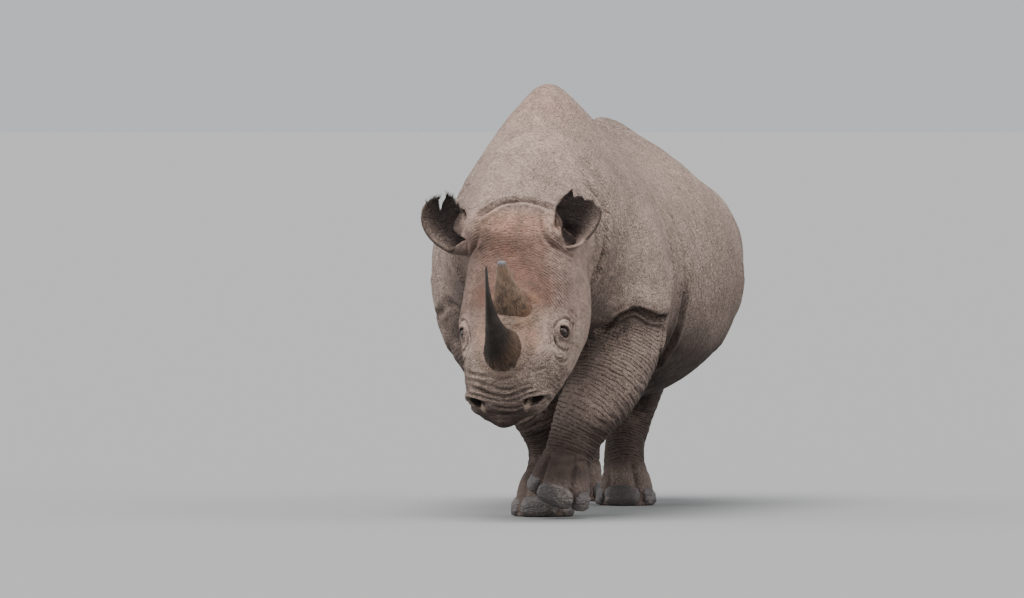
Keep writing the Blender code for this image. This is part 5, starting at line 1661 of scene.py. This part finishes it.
def nail_material():
    """Grey horn of the toes with worn pale patches and lines of growth."""
    made, tree, shader, place = new_material("nail")
    patch = spread(tree, cloud(tree, place, 20.0, 4.0, 0.7), 0.54, 0.76)
    lines = node(tree, "ShaderNodeTexWave", {"Vector": place, "Scale": 26.0, "Distortion": 9.0,
                                             "Detail": 2.0, "Detail Scale": 2.0},
                 bands_direction="Z").outputs["Fac"]
    colour = covered(tree, (0.050, 0.042, 0.044), (patch, (0.20, 0.175, 0.170)),
                     (spread(tree, lines, 0.2, 0.9, 0.35, 0.0), (0.055, 0.045, 0.043)))
    colour = use(tree, DUST, Place=place, Colour=colour, Amount=0.4)["Colour"]
    fill(tree, shader, {"Base Color": colour,
                        "Roughness": spread(tree, patch, 0.0, 1.0, 0.55, 0.75)})
    height = calc(tree, "ADD", times(tree, lines, 0.5), cloud(tree, place, 90.0, 3.0))
    bump(tree, shader, height, 0.0018)
    return made


def eye_material():
    """Almost black pupil, dark brown iris and a dim brown white, under a wet coat."""
    made, tree, shader, place = new_material("eye")
    away = attribute(tree, "away")
    veins = spread(tree, cloud(tree, place, 300.0), 0.4, 0.7, 0.0, 0.3)
    colour = covered(tree, (0.003, 0.002, 0.002),
                     (spread(tree, away, 0.20, 0.27), (0.018, 0.008, 0.005)),
                     (spread(tree, away, 0.56, 0.64), (0.035, 0.022, 0.018)),
                     (veins, (0.03, 0.015, 0.01)))
    fill(tree, shader, {"Base Color": colour, "Roughness": 0.2, "Specular IOR Level": 0.25,
                        "Coat Weight": 0.3, "Coat Roughness": 0.03})
    return made


def hair_material():
    """Almost black bristles, some of them browner."""
    made, tree, shader, place = new_material("hair")
    strands = spread(tree, cloud(tree, place, 60.0), 0.3, 0.7)
    colour = covered(tree, (0.012, 0.009, 0.008), (strands, (0.045, 0.033, 0.027)))
    fill(tree, shader, {"Base Color": colour, "Roughness": 0.55})
    return made


def pale_material(name, colour):
    """One even dull colour."""
    made, tree, shader, _ = new_material(name)
    fill(tree, shader, {"Base Color": (*colour, 1), "Roughness": 0.95})
    return made


MATERIALS = {
    "hide": hide_material(),
    "front_horn": horn_material("front_horn", (0.150, 0.088, 0.055), (0.0125, 0.0078, 0.0055),
                                (0.034, 0.031, 0.033), 0.70),
    "rear_horn": horn_material("rear_horn", (0.250, 0.142, 0.092), (0.275, 0.178, 0.122),
                               (0.19, 0.195, 0.225), 0.90),
    "nail": nail_material(),
    "eye": eye_material(),
    "hair": hair_material(),
}


def finish(piece, material, slot_of, *nodes):
    """Keeps a piece inside the solids' box, gives it its material and body, and hides the imported parts
    of its nodes. The slot is not used.
    """
    write_points(piece.data, np.clip(read_points(piece.data), *CAD_BOX))
    piece.data.materials.clear()
    piece.data.materials.append(MATERIALS[material])
    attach(piece, "root")
    if nodes:
        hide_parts(*nodes)


# ---------------------------------------------------------------- the pieces

def hide_piece():
    """The whole hide: bare body, broad forms, fine creases, lids and ears, with its colour masks."""
    mesh = bare_hide()
    for forms in ((broad_forms, head_forms), (fine_forms, limb_forms)):
        relief = Relief(mesh)
        for form in forms:
            form(relief)
        relief.apply()
    lids(mesh)
    relief = Relief(mesh)
    eye_folds(relief)
    relief.apply()
    write_points(mesh, make_room(read_points(mesh)))
    mesh, on_ear, inner = join_ears(mesh)
    for name, values in colour_fields(mesh, inner).items():
        add_values(mesh, name, values)
    count, strength = wrinkle_fields(read_points(mesh))
    add_values(mesh, "count", count)
    add_values(mesh, "furrows", strength * (1 - on_ear))
    add_values(mesh, "hollow", hollowness(mesh))
    write_points(mesh, read_points(mesh) + SHIFT)
    mesh.shade_smooth()
    flesh = ["head", "lower_jaw", "neck", "trunk", "tail", "ear_left", "ear_right"]
    flesh += [leg + part for leg in LEGS for part in ("_upper_leg", "_lower_leg", "_foot")]
    finish(show("hide", mesh), "hide", "hide", *flesh)


hide_piece()
horn_piece("horn_front", "front_horn", 0.09, **FRONT_HORN)
horn_piece("horn_rear", "rear_horn", 0.08, **REAR_HORN)
for leg, (stations, sole) in LEGS.items():
    for toe, place in ((0.0, "middle"), (TOE_ANGLE, "left"), (-TOE_ANGLE, "right")):
        size = MIDDLE_NAIL if place == "middle" else SIDE_NAIL
        nail_piece("%s_nail_%s" % (leg, place), stations, sole, toe, size)
for side in ("left", "right"):
    eye_piece(side)
ear_fringe()
tail_bristles()


# ---------------------------------------------------------------- floor, light and camera

def floor_disc():
    """A wide level disc: one face round a circle."""
    steps, radius = 96, 260.0
    angle = np.linspace(0, 2 * pi, steps, endpoint=False)
    points = np.stack([radius * np.cos(angle), radius * np.sin(angle), 0 * angle], -1)
    mesh = bpy.data.meshes.new("floor")
    mesh.from_pydata(points.tolist(), [], [list(range(steps))])
    piece = show("floor", mesh)
    mesh.materials.append(pale_material("floor", (0.216, 0.223, 0.226)))


def surroundings():
    """A pale even sky, a broad soft lamp overhead and two weaker ones at the sides. A lamp is a
    name, its turns in degrees, its strength and how many degrees wide it shines."""
    world = bpy.data.worlds.new("studio")
    world.use_nodes = True
    bpy.context.scene.world = world
    backdrop = world.node_tree.nodes["Background"]
    backdrop.inputs["Color"].default_value = (0.93, 0.96, 1.0, 1)
    backdrop.inputs["Strength"].default_value = 0.66
    for name, turn, power, width in (("key", (25, 0, -12), 5.8, 50), ("left", (8, 62, 0), 1.9, 60),
                                     ("right", (8, -62, 0), 1.6, 60)):
        lamp = bpy.data.lights.new(name, "SUN")
        lamp.energy, lamp.angle, lamp.color = power, radians(width), (1.0, 0.97, 0.93)
        made = show(name, lamp)
        made.rotation_euler = [radians(angle) for angle in turn]
        made.location = (0, 0, 8)


def camera():
    """A long lens at a standing person's eye height, 44 m from the withers, 11 degrees to the left
    of the animal's front. It looks down by 1.08 degrees and a little past the animal."""
    distance, bearing, eye_height = 44.0, radians(11), 1.6
    aside, down = radians(0.17634), radians(1.0766)
    lens = bpy.data.cameras.new("camera")
    lens.lens, lens.sensor_width, lens.clip_end = 434.07, 36, 600
    made = show("camera", lens)
    made.location = np.array((distance * sin(bearing), -distance * cos(bearing), eye_height)) + SHIFT
    made.rotation_euler = (pi / 2 - down, 0, bearing + aside)
    bpy.context.scene.camera = made


floor_disc()
surroundings()
camera()
